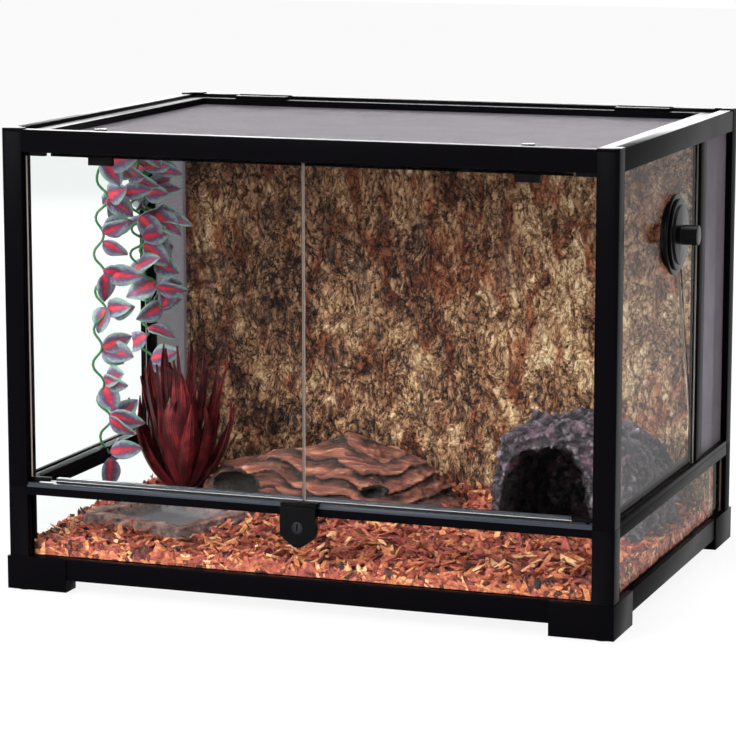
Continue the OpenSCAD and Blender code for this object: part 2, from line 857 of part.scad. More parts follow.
module port_cap() {
    color("#131216") translate(port_pos) rotate([0, 90, 0]) {
        translate([0, 0, -glass_t - 3]) cylinder(r = port_bore_r - 0.1, h = glass_t + 3 + port_ring_t + 1);
        translate([0, 0, port_ring_t + 0.2]) cylinder(r = port_r - 4.5, h = 2.8, $fn = 96);
        translate([0, 0, port_ring_t + 2]) cylinder(r = port_r - 10, h = port_cap_t - 2, $fn = 96);
        translate([0, 0, port_ring_t + port_cap_t - 1]) cylinder(r = 9.5, h = port_knob_len + 1);
    }
}

// ---- furnishings ----

// Height of the bark chips over the floor of the case
function chips_top(x, y) =
    let (front = min(1, (y + low_y0) / 70), wall = min(1, (pane_x0 - abs(x)) / 60))
    chips_edge + (chips_z - chips_edge) * (0.25 + 0.75 * front) * (0.6 + 0.4 * wall)
    + 2.2 * sin(x * 1.7 + y * 0.6) + 1.6 * sin(y * 2.6 - x * 0.9);

module chips_heap() {
    heap(-pane_x0 + rest_fit, pane_x0 - rest_fit, -low_y0 + rest_fit, board_y0 + 4 - rest_fit, 20, 14,
         base_top + rest_fit, function (x, y) chips_top(x, y));
}

module bark_chips() {
    color("#a5482c") difference() {
        union() {
            chips_heap();
            block([-in_x + rest_fit, -in_y + rest_fit, floor_top], [in_x - rest_fit, board_y0 + 4 - rest_fit, base_top + 1]);
        }
        for (sx = [-1, 1])
            block([sx > 0 ? in_x - rest_fit : -hx, -hy, 0], [sx > 0 ? hx : -in_x + rest_fit, -in_y + rest_fit, seam_z]);
        translate(dish_c) linear_extrude(80) offset(rest_fit) dish_plan();
        // Pockets for the roots of the cave and the driftwood, and clear ground round them
        translate(cave_c) {
            translate([0, 0, -root - rest_fit]) linear_extrude(90) offset(rest_fit) cave_plan();
            translate([0, 0, -rest_fit]) linear_extrude(90) offset(12, $fn = 32) cave_plan();
        }
        translate(wood_pos) rotate(wood_turn) {
            translate([0, 0, -root - rest_fit]) linear_extrude(90) offset(rest_fit) wood_plan();
            translate([0, 0, -rest_fit]) linear_extrude(90) offset(30, $fn = 32)
                square([wood_len - 54, 2 * wood_wide - 40], center = true);
        }
        translate([plant_pos[0], plant_pos[1], plant_pos[2] - 10]) cylinder(r = 26 + rest_fit, h = 90);
    }
}

// Relief of the bark, in millimetres out of the board's mean face
function bark_relief(x, z) =
    2.2 * sin(x * 4.1 + 40 * sin(z * 1.3)) + 1.6 * sin(z * 2.3 + x * 1.1) + 1.2 * sin(x * 9 - z * 1.7) - 2;

module bark_background() {
    color("#6f5138") {
        difference() {
            translate([0, board_y1, 0]) rotate([90, 0, 0])
                heap(board_x0, board_x1, base_top + rest_fit, board_z1, 24, 16, 0,
                     function (x, z) board_t + (z < chips_z + 12 ? -4 : bark_relief(x, z)));
            // Step round the side band and sill
            block([in_x - rest_fit, 0, seam_z - side_band_h - rest_fit], [hx, hy, side_sill_top + rest_fit]);
        }
        for (x = [-200, 0, 200])
            block([x - 12, board_y1, floor_top], [x + 12, in_y - rest_fit, board_z1 - 60]);
    }
}

// Plan of the driftwood's root in the chips
module wood_plan() {
    polygon([for (a = [0:360 / 28:359]) [(wood_len / 2 - 8) * cos(a), (wood_wide - 6) * sin(a)]]);
}

// Driftwood's half width and height along its length from -1 to 1
function wood_half(t) = wood_wide * sqrt(max(0.1, 1 - pow(abs(t), 3))) + 3 * sin(t * 400);
function wood_crest(t) = wood_high * sqrt(max(0.12, 1 - pow(abs(t), 4))) + 7 * sin(t * 260 + 40) + 4 * sin(t * 610);

module driftwood() {
    steps = 14;
    sides = 12;
    color("#7b4a36") translate(wood_pos) rotate(wood_turn) difference() {
        union() {
            loft([
                for (k = [0:steps])
                    let (t = -1 + 2 * k / steps)
                    [
                        for (i = [0:sides])
                            let (a = 180 * i / sides, bump = 1 + 0.07 * sin(a * 5 + t * 300))
                            [t * wood_len / 2, wood_half(t) * cos(a) * bump, wood_crest(t) * sin(a) * bump]
                    ]
            ]);
            translate([0, 0, -root]) linear_extrude(root + 2) wood_plan();
        }
        // Dark hollow under the root end, and a knot hole near the other end
        translate([-wood_len / 2 + 34, -34, 20]) rotate([0, 0, 20]) scale([1.5, 1.3, 0.75]) sphere(19, $fn = 20);
        translate([wood_len * 0.2, -44, 22]) rotate([0, 0, -20]) scale([1.5, 0.9, 0.6]) sphere(9, $fn = 16);
    }
}

// Arch-shaped ring of the cave at one depth, from its left foot over the top to its right foot
function arch(w, h, y, dx, rough, sides) = [
    for (i = [0:sides])
        let (a = 180 - 180 * i / sides, bump = 1 + rough * (0.05 * sin(a * 5 + y * 3) + 0.04 * sin(a * 9 - y * 5)))
        [dx + w / 2 * sign(cos(a)) * pow(abs(cos(a)), 0.7) * bump, y, h * pow(sin(a), 0.8) * bump]
];

module cave_plan() {
    square([cave_w - 18, cave_d - 18], center = true);
}

module cave() {
    steps = 8;
    sides = 18;
    wall = 15;
    color("#574d55") translate(cave_c) difference() {
        union() {
            loft([
                for (k = [0:steps])
                    let (t = k / steps, s = 1 - 0.34 * t * t)
                    arch(cave_w * 0.93, cave_h * 0.96 * s, -cave_d / 2 + cave_d * t, 0, 1, sides)
            ]);
            translate([0, 0, -root]) linear_extrude(root + 2) cave_plan();
        }
        // Hollow for the animal, open at the front
        translate([0, 0, 3 - root]) loft([
            for (k = [0:5])
                let (t = k / 5, s = 1 - 0.25 * t * t)
                arch(mouth_w + 10 * t, mouth_h * s, -cave_d / 2 - 4 + (cave_d - wall) * t, -18 + 8 * t, 0.5, sides)
        ]);
    }
}

module dish_plan() {
    rotate(dish_turn) offset(18, $fn = 32) square([dish_w - 36, dish_d - 36], center = true);
}

module dish() {
    color("#7a5a55") translate(dish_c) difference() {
        hull() {
            linear_extrude(3) dish_plan();
            translate([0, 0, dish_h - 1]) linear_extrude(1) offset(-5) dish_plan();
        }
        hull() {
            translate([0, 0, 5]) linear_extrude(1) offset(-dish_rim - 12) dish_plan();
            translate([0, 0, dish_h]) linear_extrude(1) offset(-dish_rim - 5) dish_plan();
        }
    }
}

module red_plant() {
    color("#5d1620") translate(plant_pos) {
        translate([0, 0, -10]) cylinder(r = 26, h = 12);
        cylinder(r = 23, h = 4);
        for (i = [0:4]) rotate([0, 0, i * 72 + 10]) translate([8, 0, 2]) rotate([0, -80, 0])
            leaf(plant_h, 17, 5, 6, 0);
        for (i = [0:6]) rotate([0, 0, i * 360 / 7]) translate([17, 0, 2]) rotate([0, -74, 0])
            leaf(plant_h * 0.86, 17, 5, 8, 10);
    }
}

// Stems of the leaf vine: from the suction cup up and over to the rear, and a longer one to the front
vine_x = -pane_x0 + 17;
vine_z = cup_pos[2] + 50;
vine_rear = concat(
    [[vine_x, cup_pos[1] + 3, vine_z - 46], [vine_x, cup_pos[1] + 12, vine_z - 18]],
    [[vine_x + 2, cup_pos[1] + 30, vine_z]],
    [for (k = [1:7]) [vine_x + 3 + 2 * sin(k * 70), cup_pos[1] + 38 + k * 7, vine_z - k * 19 - (k > 5 ? 10 : 0)]]
);
vine_front = concat(
    [[vine_x, cup_pos[1] - 3, vine_z - 46], [vine_x, cup_pos[1] - 6, vine_z - 18]],
    [[vine_x + 2, cup_pos[1] - 18, vine_z - 4]],
    [for (k = [1:13]) [vine_x + 2 + 3 * sin(k * 80), cup_pos[1] - 24 - 26 * sin(k * 14), vine_z - k * 23]]
);

// Leaf beside a stem, its root just clear of it
module vine_leaf(p, turn, size) {
    translate(p) rotate([0, 0, turn]) translate([stem_r + 0.2, 0, 0]) rotate([0, 24, 0])
        leaf(size, size * 0.55, 2, 2, 5);
}

module leaf_vine() {
    color("#8c3a48") {
        tube(vine_rear, stem_r, 6);
        tube(vine_front, stem_r, 6);
        for (k = [3:9]) vine_leaf(vine_rear[k], k % 2 == 0 ? 50 : 5, 30);
        for (k = [3:15]) vine_leaf(vine_front[k], k % 2 == 0 ? -55 : 10, 30);
    }
}

module suction_cup() {
    color("#dfe9ea", 0.5) translate(cup_pos) rotate([0, 90, 0]) {
        rotate_extrude() polygon([[0, 0], [cup_r, 0], [cup_r, 1], [9, 4.2], [0, 4.2]]);
        cylinder(r = 4.5, h = 5.2);
    }
}

// ---- assembly ----

module seat() {
    translate(origin_shift) children();
}

seat() foot(-1, -1);  // foot_front_left
seat() foot(1, -1);  // foot_front_right
seat() foot(-1, 1);  // foot_rear_left
seat() foot(1, 1);  // foot_rear_right
seat() foot_pads();
seat() base_rail(-1);  // base_rail_front
seat() base_rail(1);  // base_rail_rear
seat() base_rail_side(-1);  // base_rail_left
seat() base_rail_side(1);  // base_rail_right
seat() floor_pane();
seat() low_glass_front();
seat() low_glass_rear();
seat() low_glass_side(-1);  // low_glass_left
seat() low_glass_side(1);  // low_glass_right
seat() band_front();
seat() band_rear();
seat() band_side(-1);  // band_left
seat() band_side(1);  // band_right
seat() sill_front();
seat() sill_rear();
seat() sill_side(-1);  // sill_left
seat() sill_side(1);  // sill_right
seat() post(-1, -1);  // post_front_left
seat() post(1, -1);  // post_front_right
seat() post(-1, 1);  // post_rear_left
seat() post(1, 1);  // post_rear_right
seat() top_rail_front();
seat() top_rail_rear();
seat() top_rail_side(-1);  // top_rail_left
seat() top_rail_side(1);  // top_rail_right
seat() corner_caps();
seat() side_glass(-1);  // side_glass_left
seat() side_glass(1);  // side_glass_right
seat() rear_glass();
seat() vent_bars();
seat() vent_screens();
seat() mirror([1, 0, 0]) door_glass();  // door_glass_left
seat() mirror([1, 0, 0]) door_shoes();  // door_shoes_left
seat() door_glass();  // door_glass_right
seat() door_shoes();  // door_shoes_right
seat() lock_housing();
seat() lock_barrel();
seat() lock_catch();
seat() cover_frame();
seat() cover_screen();
seat() cover_hinge_leaves();
seat() cover_hinge_bases();
seat() cover_hinge_pins();
seat() turn_catch(-1);  // catch_left
seat() turn_catch(1);  // catch_right
seat() port_ring();
seat() port_cap();
seat() bark_background();
seat() bark_chips();
seat() driftwood();
seat() cave();
seat() dish();
seat() red_plant();
seat() leaf_vine();
seat() suction_cup();
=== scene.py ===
import math
import random

import bpy
from mathutils import Matrix, Vector, noise


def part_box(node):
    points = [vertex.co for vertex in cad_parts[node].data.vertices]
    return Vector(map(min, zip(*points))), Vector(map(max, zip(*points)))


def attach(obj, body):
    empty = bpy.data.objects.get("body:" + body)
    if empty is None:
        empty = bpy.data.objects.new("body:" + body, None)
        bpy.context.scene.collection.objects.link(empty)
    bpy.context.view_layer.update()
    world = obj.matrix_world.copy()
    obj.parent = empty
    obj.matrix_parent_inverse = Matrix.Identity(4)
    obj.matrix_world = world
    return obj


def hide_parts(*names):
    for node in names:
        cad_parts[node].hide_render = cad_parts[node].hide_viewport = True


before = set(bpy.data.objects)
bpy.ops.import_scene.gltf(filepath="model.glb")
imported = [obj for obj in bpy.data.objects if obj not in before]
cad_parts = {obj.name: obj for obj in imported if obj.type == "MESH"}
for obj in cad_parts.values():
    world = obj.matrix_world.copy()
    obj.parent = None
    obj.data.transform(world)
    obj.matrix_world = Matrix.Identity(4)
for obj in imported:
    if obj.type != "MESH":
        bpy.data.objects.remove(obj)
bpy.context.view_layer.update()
mm = 0.001

# Camera. The case is seen from its front right corner, a little over 3 m away and from above
# its lid, through a long lens whose length comes from the picture's side on the sensor.
picture_side, sensor_side, focal_length_in_pixels = 736, 36, 3113.55
camera_place, tilt_down, turn_left = (1.0063, -2.8484, 0.7153), 9.706, 19.86
camera_data = bpy.data.cameras.new("camera")
camera_data.lens = focal_length_in_pixels / picture_side * sensor_side
camera_data.clip_end = 20
camera = bpy.data.objects.new("camera", camera_data)
camera.location = camera_place
camera.rotation_euler = (math.radians(90 - tilt_down), 0, math.radians(turn_left))
bpy.context.scene.collection.objects.link(camera)
bpy.context.scene.camera = camera
bpy.context.scene.view_settings.view_transform = "Standard"


# Studio. A plain white floor under an even white sky, with a soft box at the front left, a faint
# one at the right, one over the lid, and a long one behind that lightens every face turned up.
def linear(code):
    """A colour written as sRGB hex, as the shader wants it."""
    parts = [int(code[i:i + 2], 16) / 255 for i in (1, 3, 5)]
    return (*[c / 12.92 if c <= 0.04045 else ((c + 0.055) / 1.055) ** 2.4 for c in parts], 1)


def add_node(tree, kind, sockets=None, **settings):
    """One shader node, its settings, and a value or a feeding output for each socket named."""
    made = tree.nodes.new("ShaderNode" + kind)
    for key, value in settings.items():
        setattr(made, key, value)
    for key, value in (sockets or {}).items():
        if isinstance(value, bpy.types.NodeSocket):
            tree.links.new(value, made.inputs[key])
        else:
            made.inputs[key].default_value = value
    return made


def math_of(tree, operation, a, b=0.0):
    return add_node(tree, "Math", {0: a, 1: b}, operation=operation).outputs[0]


def seen_directly(tree):
    """1 for what the camera, a mirror or glass shows, and 0 for what lights a surface."""
    path = add_node(tree, "LightPath").outputs
    either = math_of(tree, "MAXIMUM", path["Is Camera Ray"], path["Is Glossy Ray"])
    return math_of(tree, "MAXIMUM", either, path["Is Transmission Ray"])


world = bpy.data.worlds.new("studio")
bpy.context.scene.world = world
world.use_nodes = True
sky = world.node_tree
sky.nodes.clear()
strength = add_node(sky, "MapRange", {"Value": seen_directly(sky), "To Min": 0.45, "To Max": 1.0})
glow = add_node(sky, "Background", {"Color": (1, 1, 1, 1), "Strength": strength.outputs[0]})
add_node(sky, "OutputWorld", {"Surface": glow.outputs[0]})

bpy.ops.mesh.primitive_plane_add(size=14, location=(0, 3, 0))
floor = bpy.context.object
floor.name = "studio_floor"
floor_paint = bpy.data.materials.new("matt_white_floor")
floor_paint.use_nodes = True
tree = floor_paint.node_tree
tree.nodes.clear()
matt = add_node(tree, "BsdfDiffuse", {"Color": linear("#F4F4F4")})
lit = add_node(tree, "Emission", {"Color": (1, 1, 1, 1), "Strength": 1.04})
share = math_of(tree, "MULTIPLY", seen_directly(tree), 0.86)
mix = add_node(tree, "MixShader", {0: share, 1: matt.outputs[0], 2: lit.outputs[0]})
add_node(tree, "OutputMaterial", {"Surface": mix.outputs[0]})
floor.data.materials.append(floor_paint)

for name, place, size, watts in (
    ("front_left_box", (-1.1, -2.4, 1.5), (1.3, 1.3), 76),
    ("right_box", (2.4, -0.9, 1.2), (1.2, 1.2), 6),
    ("top_box", (0, 0.2, 2.2), (1.4, 1.4), 30),
    ("rear_strip", (-1.3, 2.8, 0.98), (2.8, 0.9), 56),
):
    lamp_data = bpy.data.lights.new(name, "AREA")
    lamp_data.energy = watts
    lamp_data.shape = "RECTANGLE"
    lamp_data.size, lamp_data.size_y = size
    lamp = bpy.data.objects.new(name, lamp_data)
    lamp.location = place
    lamp.rotation_euler = (Vector((0, 0, 0.2)) - Vector(place)).to_track_quat("-Z", "Y").to_euler()
    bpy.context.scene.collection.objects.link(lamp)


# Black bars. The posts, rails, bands, sills and shoes are moulded ABS, satin black with a faint
# violet cast, and the mould leaves a small radius on each edge that catches a line of light.
def new_material(name, color, roughness, **sockets):
    """A one-shader material with its colour as sRGB hex."""
    made = bpy.data.materials.new(name)
    made.use_nodes = True
    shader = made.node_tree.nodes["Principled BSDF"]
    shader.inputs["Base Color"].default_value = linear(color)
    shader.inputs["Roughness"].default_value = roughness
    for key, value in sockets.items():
        shader.inputs[key.replace("_", " ")].default_value = value
    return made, made.node_tree, shader


def rescaled(tree, value, to_low, to_high, low=0.0, high=1.0):
    sockets = {"Value": value, "From Min": low, "From Max": high, "To Min": to_low, "To Max": to_high}
    return add_node(tree, "MapRange", sockets).outputs[0]


def speckle(tree, size, detail=3.0, stretch=(1, 1, 1), roughness=0.5, swirl=0.0):
    """Noise from 0 to 1 with spots of a real size, stretched where an axis is under 1."""
    place = add_node(tree, "TexCoord").outputs["Object"]
    place = add_node(tree, "Mapping", {"Vector": place, "Scale": stretch})
    sockets = {"Vector": place.outputs[0], "Scale": 1 / size, "Detail": detail, "Roughness": roughness,
               "Distortion": swirl}
    return add_node(tree, "TexNoise", sockets).outputs[0]


def select_only(*objects):
    bpy.ops.object.select_all(action="DESELECT")
    for one in objects:
        one.select_set(True)
    bpy.context.view_layer.objects.active = objects[0]


def edit(piece, *steps):
    """Runs steps on the whole mesh in edit mode."""
    select_only(piece)
    bpy.ops.object.mode_set(mode="EDIT")
    bpy.ops.mesh.select_all(action="SELECT")
    for step in steps:
        step()
    bpy.ops.object.mode_set(mode="OBJECT")


def apply_modifier(piece, kind, **settings):
    select_only(piece)
    modifier = piece.modifiers.new(kind.lower(), kind)
    for key, value in settings.items():
        setattr(modifier, key, value)
    bpy.ops.object.modifier_apply(modifier=modifier.name)


def merged_copy(node, name):
    """A CAD node's shape as a new piece, its loose triangles joined up."""
    piece = bpy.data.objects.new(name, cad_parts[node].data.copy())
    bpy.context.scene.collection.objects.link(piece)
    piece.data.materials.clear()
    edit(piece, lambda: bpy.ops.mesh.remove_doubles(threshold=1e-6),
         lambda: bpy.ops.mesh.dissolve_limited(angle_limit=math.radians(1)))
    return piece


def rounded(node, name, width, segments=2):
    """A CAD node's shape with its edges rounded as the mould rounds them."""
    piece = merged_copy(node, name)
    apply_modifier(piece, "BEVEL", width=width, segments=segments, limit_method="ANGLE",
                   angle_limit=math.radians(35), use_clamp_overlap=True)
    select_only(piece)
    bpy.ops.object.shade_smooth_by_angle(angle=math.radians(32))
    return piece


def settle(piece, material, slot, body="case", *nodes):
    """The piece's finish, the body it moves with and the CAD nodes it stands for."""
    piece.data.materials.clear()
    piece.data.materials.append(material)
    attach(piece, body)
    if nodes:
        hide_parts(*nodes)
    return piece


# ABS as moulded: near black, with a grain drawn coarser than real that softens its shine
black_abs, tree, shader = new_material("satin_black_abs_moulded", "#070609", 0.28, Specular_IOR_Level=0.014)
grain = speckle(tree, 1.2 * mm, 2.0)
bump = add_node(tree, "Bump", {"Height": grain, "Strength": 0.05, "Distance": 0.2 * mm})
tree.links.new(bump.outputs[0], shader.inputs["Normal"])
tree.links.new(rescaled(tree, speckle(tree, 60 * mm), 0.24, 0.36), shader.inputs["Roughness"])

mould_radius = 0.5 * mm
bar_starts = ("foot_", "base_rail_", "band_", "sill_", "post_", "top_rail_", "corner_caps", "vent_bars")
other_finish = ("foot_pads", "sill_front")
for node in [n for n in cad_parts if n.startswith(bar_starts) and n not in other_finish]:
    settle(rounded(node, node + "_moulding", mould_radius), black_abs, "frame", "case", node)
# the track that the doors stand on is extruded ABS, shinier than the rest, and its grey-blue colour is a
# painted highlight along it
sill_painted_highlight, tree, shader = new_material("black_abs_painted_highlight", "#2E333C", 0.3, Specular_IOR_Level=0.3)
tree.links.new(rescaled(tree, speckle(tree, 60 * mm), 0.24, 0.36), shader.inputs["Roughness"])
settle(rounded("sill_front", "sill_front_moulding", mould_radius), sill_painted_highlight, "frame", "case",
       "sill_front")

# Foot pads. Short rubber plugs pushed into the shoes, matt and a little dusty.
rubber, tree, shader = new_material("matt_black_rubber_moulded", "#1D1C1C", 0.85)
tree.links.new(rescaled(tree, speckle(tree, 3 * mm, 4.0), 0.75, 0.95), shader.inputs["Roughness"])
settle(rounded("foot_pads", "foot_pad_set", mould_radius), rubber, "pads", "case", "foot_pads")

# Panes. Float glass 4 mm thick, clear with the faintest green. Its index is set low, so that it
# hardly mirrors the studio. The edges are ground matt, a pale seam where the two doors meet.
clear_glass = bpy.data.materials.new("clear_float_glass")
clear_glass.use_nodes = True
tree = clear_glass.node_tree
shader = tree.nodes["Principled BSDF"]
shader.inputs["Base Color"].default_value = linear("#FAFCFB")
shader.inputs["Roughness"].default_value = 0.0
shader.inputs["IOR"].default_value = 1.05
shader.inputs["Transmission Weight"].default_value = 1.0
through = add_node(tree, "BsdfTransparent", {"Color": linear("#F4F9F7")})
shadow = add_node(tree, "LightPath").outputs["Is Shadow Ray"]
mix = add_node(tree, "MixShader", {0: shadow, 1: shader.outputs[0], 2: through.outputs[0]})
tree.links.new(mix.outputs[0], tree.nodes["Material Output"].inputs["Surface"])
ground_edge, tree, shader = new_material("ground_glass_edge", "#B9ADA6", 0.55)
tree.links.new(rescaled(tree, speckle(tree, 4 * mm), 0.45, 0.65), shader.inputs["Roughness"])
for node in [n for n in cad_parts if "glass" in n or n == "floor_pane"]:
    body = {"door_glass_left": "left_door", "door_glass_right": "right_door"}.get(node, "case")
    pane = settle(rounded(node, node + "_pane", 0.4 * mm, 1), clear_glass, "glass", body, node)
    pane.data.materials.append(ground_edge)
    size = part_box(node)[1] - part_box(node)[0]
    thin = min(range(3), key=lambda axis: size[axis])
    for face in pane.data.polygons:
        face.material_index = int(abs(face.normal[thin]) < 0.5)

# Door shoes and lock. Gloss black nylon, moulded. The barrel is die-cast zinc plated dark, with a
# slot for its key, and the sliding catch stands in the housing's mouth.
black_nylon, tree, shader = new_material("gloss_black_nylon_moulded", "#050406", 0.2, Specular_IOR_Level=0.08)
tree.links.new(rescaled(tree, speckle(tree, 9 * mm, 2.0), 0.16, 0.3), shader.inputs["Roughness"])
for side in ("left", "right"):
    settle(rounded(f"door_shoes_{side}", f"door_shoe_pair_{side}", 0.35 * mm), black_nylon, "fittings",
           f"{side}_door", f"door_shoes_{side}")
settle(rounded("lock_housing", "lock_shield", 0.7 * mm, 3), black_nylon, "fittings", "case",
       "lock_housing")
settle(rounded("lock_catch", "lock_slider", 0.3 * mm), black_nylon, "fittings", "lock_slide_part",
       "lock_catch")
dark_zinc, tree, shader = new_material("dark_plated_zinc_turned", "#2A2A2E", 0.3, Metallic=1.0)
tree.links.new(rescaled(tree, speckle(tree, 0.8 * mm, 2.0), 0.26, 0.42), shader.inputs["Roughness"])
settle(rounded("lock_barrel", "lock_core", 0.25 * mm), dark_zinc, "lock_metal", "lock_turn_part",
       "lock_barrel")

# Lid. A moulded frame with a wire screen let into it, hung on two knuckle hinges at the rear and
# held by two quarter-turn catches at the front.
settle(rounded("cover_frame", "lid_frame", mould_radius), black_abs, "frame", "cover", "cover_frame")
settle(rounded("cover_hinge_leaves", "lid_hinge_leaf_pair", 0.3 * mm), black_abs, "frame", "cover",
       "cover_hinge_leaves")
settle(rounded("cover_hinge_bases", "lid_hinge_base_pair", 0.3 * mm), black_abs, "frame", "case",
       "cover_hinge_bases")
for side in ("left", "right"):
    settle(rounded(f"catch_{side}", f"lid_catch_{side}", 0.4 * mm), black_nylon, "fittings",
           f"{side}_catch", f"catch_{side}")
bright_steel, tree, shader = new_material("bright_steel_drawn", "#B9B9BD", 0.3, Metallic=1.0)
settle(rounded("cover_hinge_pins", "lid_hinge_pin_pair", 0.2 * mm), bright_steel, "pin_steel", "case",
       "cover_hinge_pins")

# Wire screens. Woven steel wire painted grey, 1.8 mm from wire to wire, at the lid and at the rear
# of both sides.
screen_wire, tree, shader = new_material("grey_painted_steel_wire_woven", "#8A848E", 0.5, Metallic=0.3)
tint = speckle(tree, 40 * mm, 2.0)
tones = add_node(tree, "Mix", {0: tint, 6: linear("#6C6670"), 7: linear("#877F88")}, data_type="RGBA")
tree.links.new(tones.outputs[2], shader.inputs["Base Color"])
cube_corners = [Vector((x, y, z)) for x in (-0.5, 0.5) for y in (-0.5, 0.5) for z in (-0.5, 0.5)]
cube_faces = ((0, 1, 3, 2), (4, 6, 7, 5), (0, 4, 5, 1), (2, 3, 7, 6), (0, 2, 6, 4), (1, 5, 7, 3))


def new_piece(name, points, faces):
    mesh = bpy.data.meshes.new(name)
    mesh.from_pydata(points, [], faces)
    piece = bpy.data.objects.new(name, mesh)
    bpy.context.scene.collection.objects.link(piece)
    return piece


def block_set(name, blocks):
    """One piece from many six-sided blocks, each given by its eight corners."""
    faces = [[8 * b + i for i in face] for b in range(len(blocks)) for face in cube_faces]
    return new_piece(name, [corner for block in blocks for corner in block], faces)


def wire_net(name, low, high, flat, pitch, wire):
    """Two layers of straight wires that fill the box from low to high, flat along one axis."""
    across = [a for a in range(3) if a != flat]
    spare = high[flat] - low[flat]
    wires = []
    for layer, (run, step) in enumerate((across, across[::-1])):
        count = int((high[step] - low[step]) / pitch)
        for i in range(1, count):
            middle = (Vector(low) + Vector(high)) / 2
            size = Vector((wire, wire, wire))
            middle[step] = low[step] + (high[step] - low[step]) * i / count
            middle[flat] += (spare - wire) / 2 * (2 * layer - 1) * 0.5
            size[run] = high[run] - low[run]
            wires.append([middle + corner * size for corner in cube_corners])
    return block_set(name, wires)


pitch, wire, net_depth = 1.8 * mm, 0.5 * mm, 1 * mm
lid_net = wire_net("lid_screen", *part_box("cover_screen"), 2, pitch, wire)
settle(lid_net, screen_wire, "screen", "cover", "cover_screen")
low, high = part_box("vent_screens")
nets = [wire_net("side_screen_pair", (x, low.y, low.z), (x + net_depth, high.y, high.z), 0, pitch, wire)
        for x in (low.x, high.x - net_depth)]
select_only(*nets)
bpy.ops.object.join()
settle(nets[0], screen_wire, "screen", "case", "vent_screens")

# Port. A round cable port in the right-hand pane: a stepped ring screwed through the glass and a
# plug with a knob, gloss black nylon.
settle(rounded("port_ring", "port_collar", 0.6 * mm, 3), black_nylon, "fittings", "case", "port_ring")
settle(rounded("port_cap", "port_plug_knob", 0.6 * mm, 3), black_nylon, "fittings", "port_plug",
       "port_cap")


# Bark background. A board of expanded cork bark glued to foam, as high as the case. Its face is
# ragged plates that run upwards, split by cracks. Its colour is painted dark in the cracks and low
# parts as shade, and pale on the crests as painted highlight.
def color_ramp(tree, value, *stops):
    """Colours as sRGB hex, each at its place from 0 to 1."""
    made = add_node(tree, "ValToRGB", {0: value})
    elements = made.color_ramp.elements
    elements[0].position, elements[0].color = stops[0][0], linear(stops[0][1])
    elements[1].position, elements[1].color = stops[-1][0], linear(stops[-1][1])
    for place, code in stops[1:-1]:
        elements.new(place).color = linear(code)
    return made.outputs[0]


def cell_edge(p):
    """How far a point lies inside its own cell of a random net: 0 on the line between two cells."""
    near, _ = noise.voronoi(p)
    return near[1] - near[0]


def mark(piece, name, values):
    piece.data.attributes.new(name, "FLOAT", "POINT").data.foreach_set("value", values)


board_low, board_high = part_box("bark_background")
batten_depth, bark_depth, foam_depth, bark_relief = 16.2 * mm, 24 * mm, 17 * mm, 8.5 * mm
front_y = board_high.y - batten_depth - bark_depth
bpy.ops.mesh.primitive_grid_add(x_subdivisions=345, y_subdivisions=262, size=1)
bark = bpy.context.object
bark.name = "bark_board"
relief_shades = []
for v in bark.data.vertices:
    u, w = v.co.x + 0.5, v.co.y + 0.5
    x = board_low.x + (board_high.x - board_low.x) * u
    z = board_low.z + (board_high.z - board_low.z) * w
    drift = Vector([noise.noise(Vector((x / 0.02, z / 0.03, seed))) for seed in (2, 8)] + [0])
    plate = min(1, cell_edge(Vector((x / 0.022, z / 0.04, 0)) + drift * 1.1) * 2.6)
    flake = min(1, cell_edge(Vector((x / 0.0075, z / 0.011, 3)) + drift * 1.8) * 2.0)
    layer = noise.fractal(Vector((x / 0.02, z / 0.034, 5)) + drift * 0.7, 0.9, 2.0, 4)
    peel = layer * 4 - math.floor(layer * 4)
    # the relief's height, which moves the face and also sets its colour: painted shade where it is low,
    # painted highlight on the crests
    relief_shade = 0.3 * plate + 0.26 * flake + 0.26 * peel + 0.18 * min(1, max(0, layer + 0.5))
    relief_shades.append(relief_shade)
    edge = min(1, min(u, 1 - u, w, 1 - w) * 30)
    v.co = (x, front_y - (bark_relief * relief_shade - 5 * mm) * edge, z)
mark(bark, "relief_shade", relief_shades)
edit(bark, lambda: bpy.ops.mesh.select_all(action="DESELECT"), lambda: bpy.ops.mesh.select_mode(type="EDGE"),
     bpy.ops.mesh.select_non_manifold,
     lambda: bpy.ops.mesh.extrude_region_move(TRANSFORM_OT_translate={"value": (0, foam_depth, 0)}),
     bpy.ops.mesh.edge_face_add, lambda: bpy.ops.mesh.select_all(action="SELECT"),
     bpy.ops.mesh.normals_make_consistent)
select_only(bark)
bpy.ops.object.shade_smooth_by_angle(angle=math.radians(50))
cork_bark, tree, shader = new_material("cork_bark_expanded", "#6B5340", 0.9)
relief_shade = add_node(tree, "Attribute", attribute_name="relief_shade").outputs["Fac"]
place = add_node(tree, "TexCoord").outputs["Object"]
swirl = add_node(tree, "TexNoise", {"Vector": place, "Scale": 1 / (13 * mm), "Detail": 3.0}).outputs["Color"]
swirl = add_node(tree, "VectorMath", {0: swirl, 1: (0.5, 0.5, 0.5)}, operation="SUBTRACT").outputs[0]
swirl = add_node(tree, "VectorMath", {0: swirl, 1: (18 * mm, 0, 14 * mm)}, operation="MULTIPLY").outputs[0]
swirled = add_node(tree, "VectorMath", {0: place, 1: swirl}, operation="ADD").outputs[0]
swirled = add_node(tree, "Mapping", {"Vector": swirled, "Scale": (1, 1, 0.5)}).outputs[0]
scales = add_node(tree, "TexVoronoi", {"Vector": swirled, "Scale": 1 / (6 * mm)})
scale_tone = add_node(tree, "SeparateXYZ", {0: scales.outputs["Color"]}).outputs["X"]
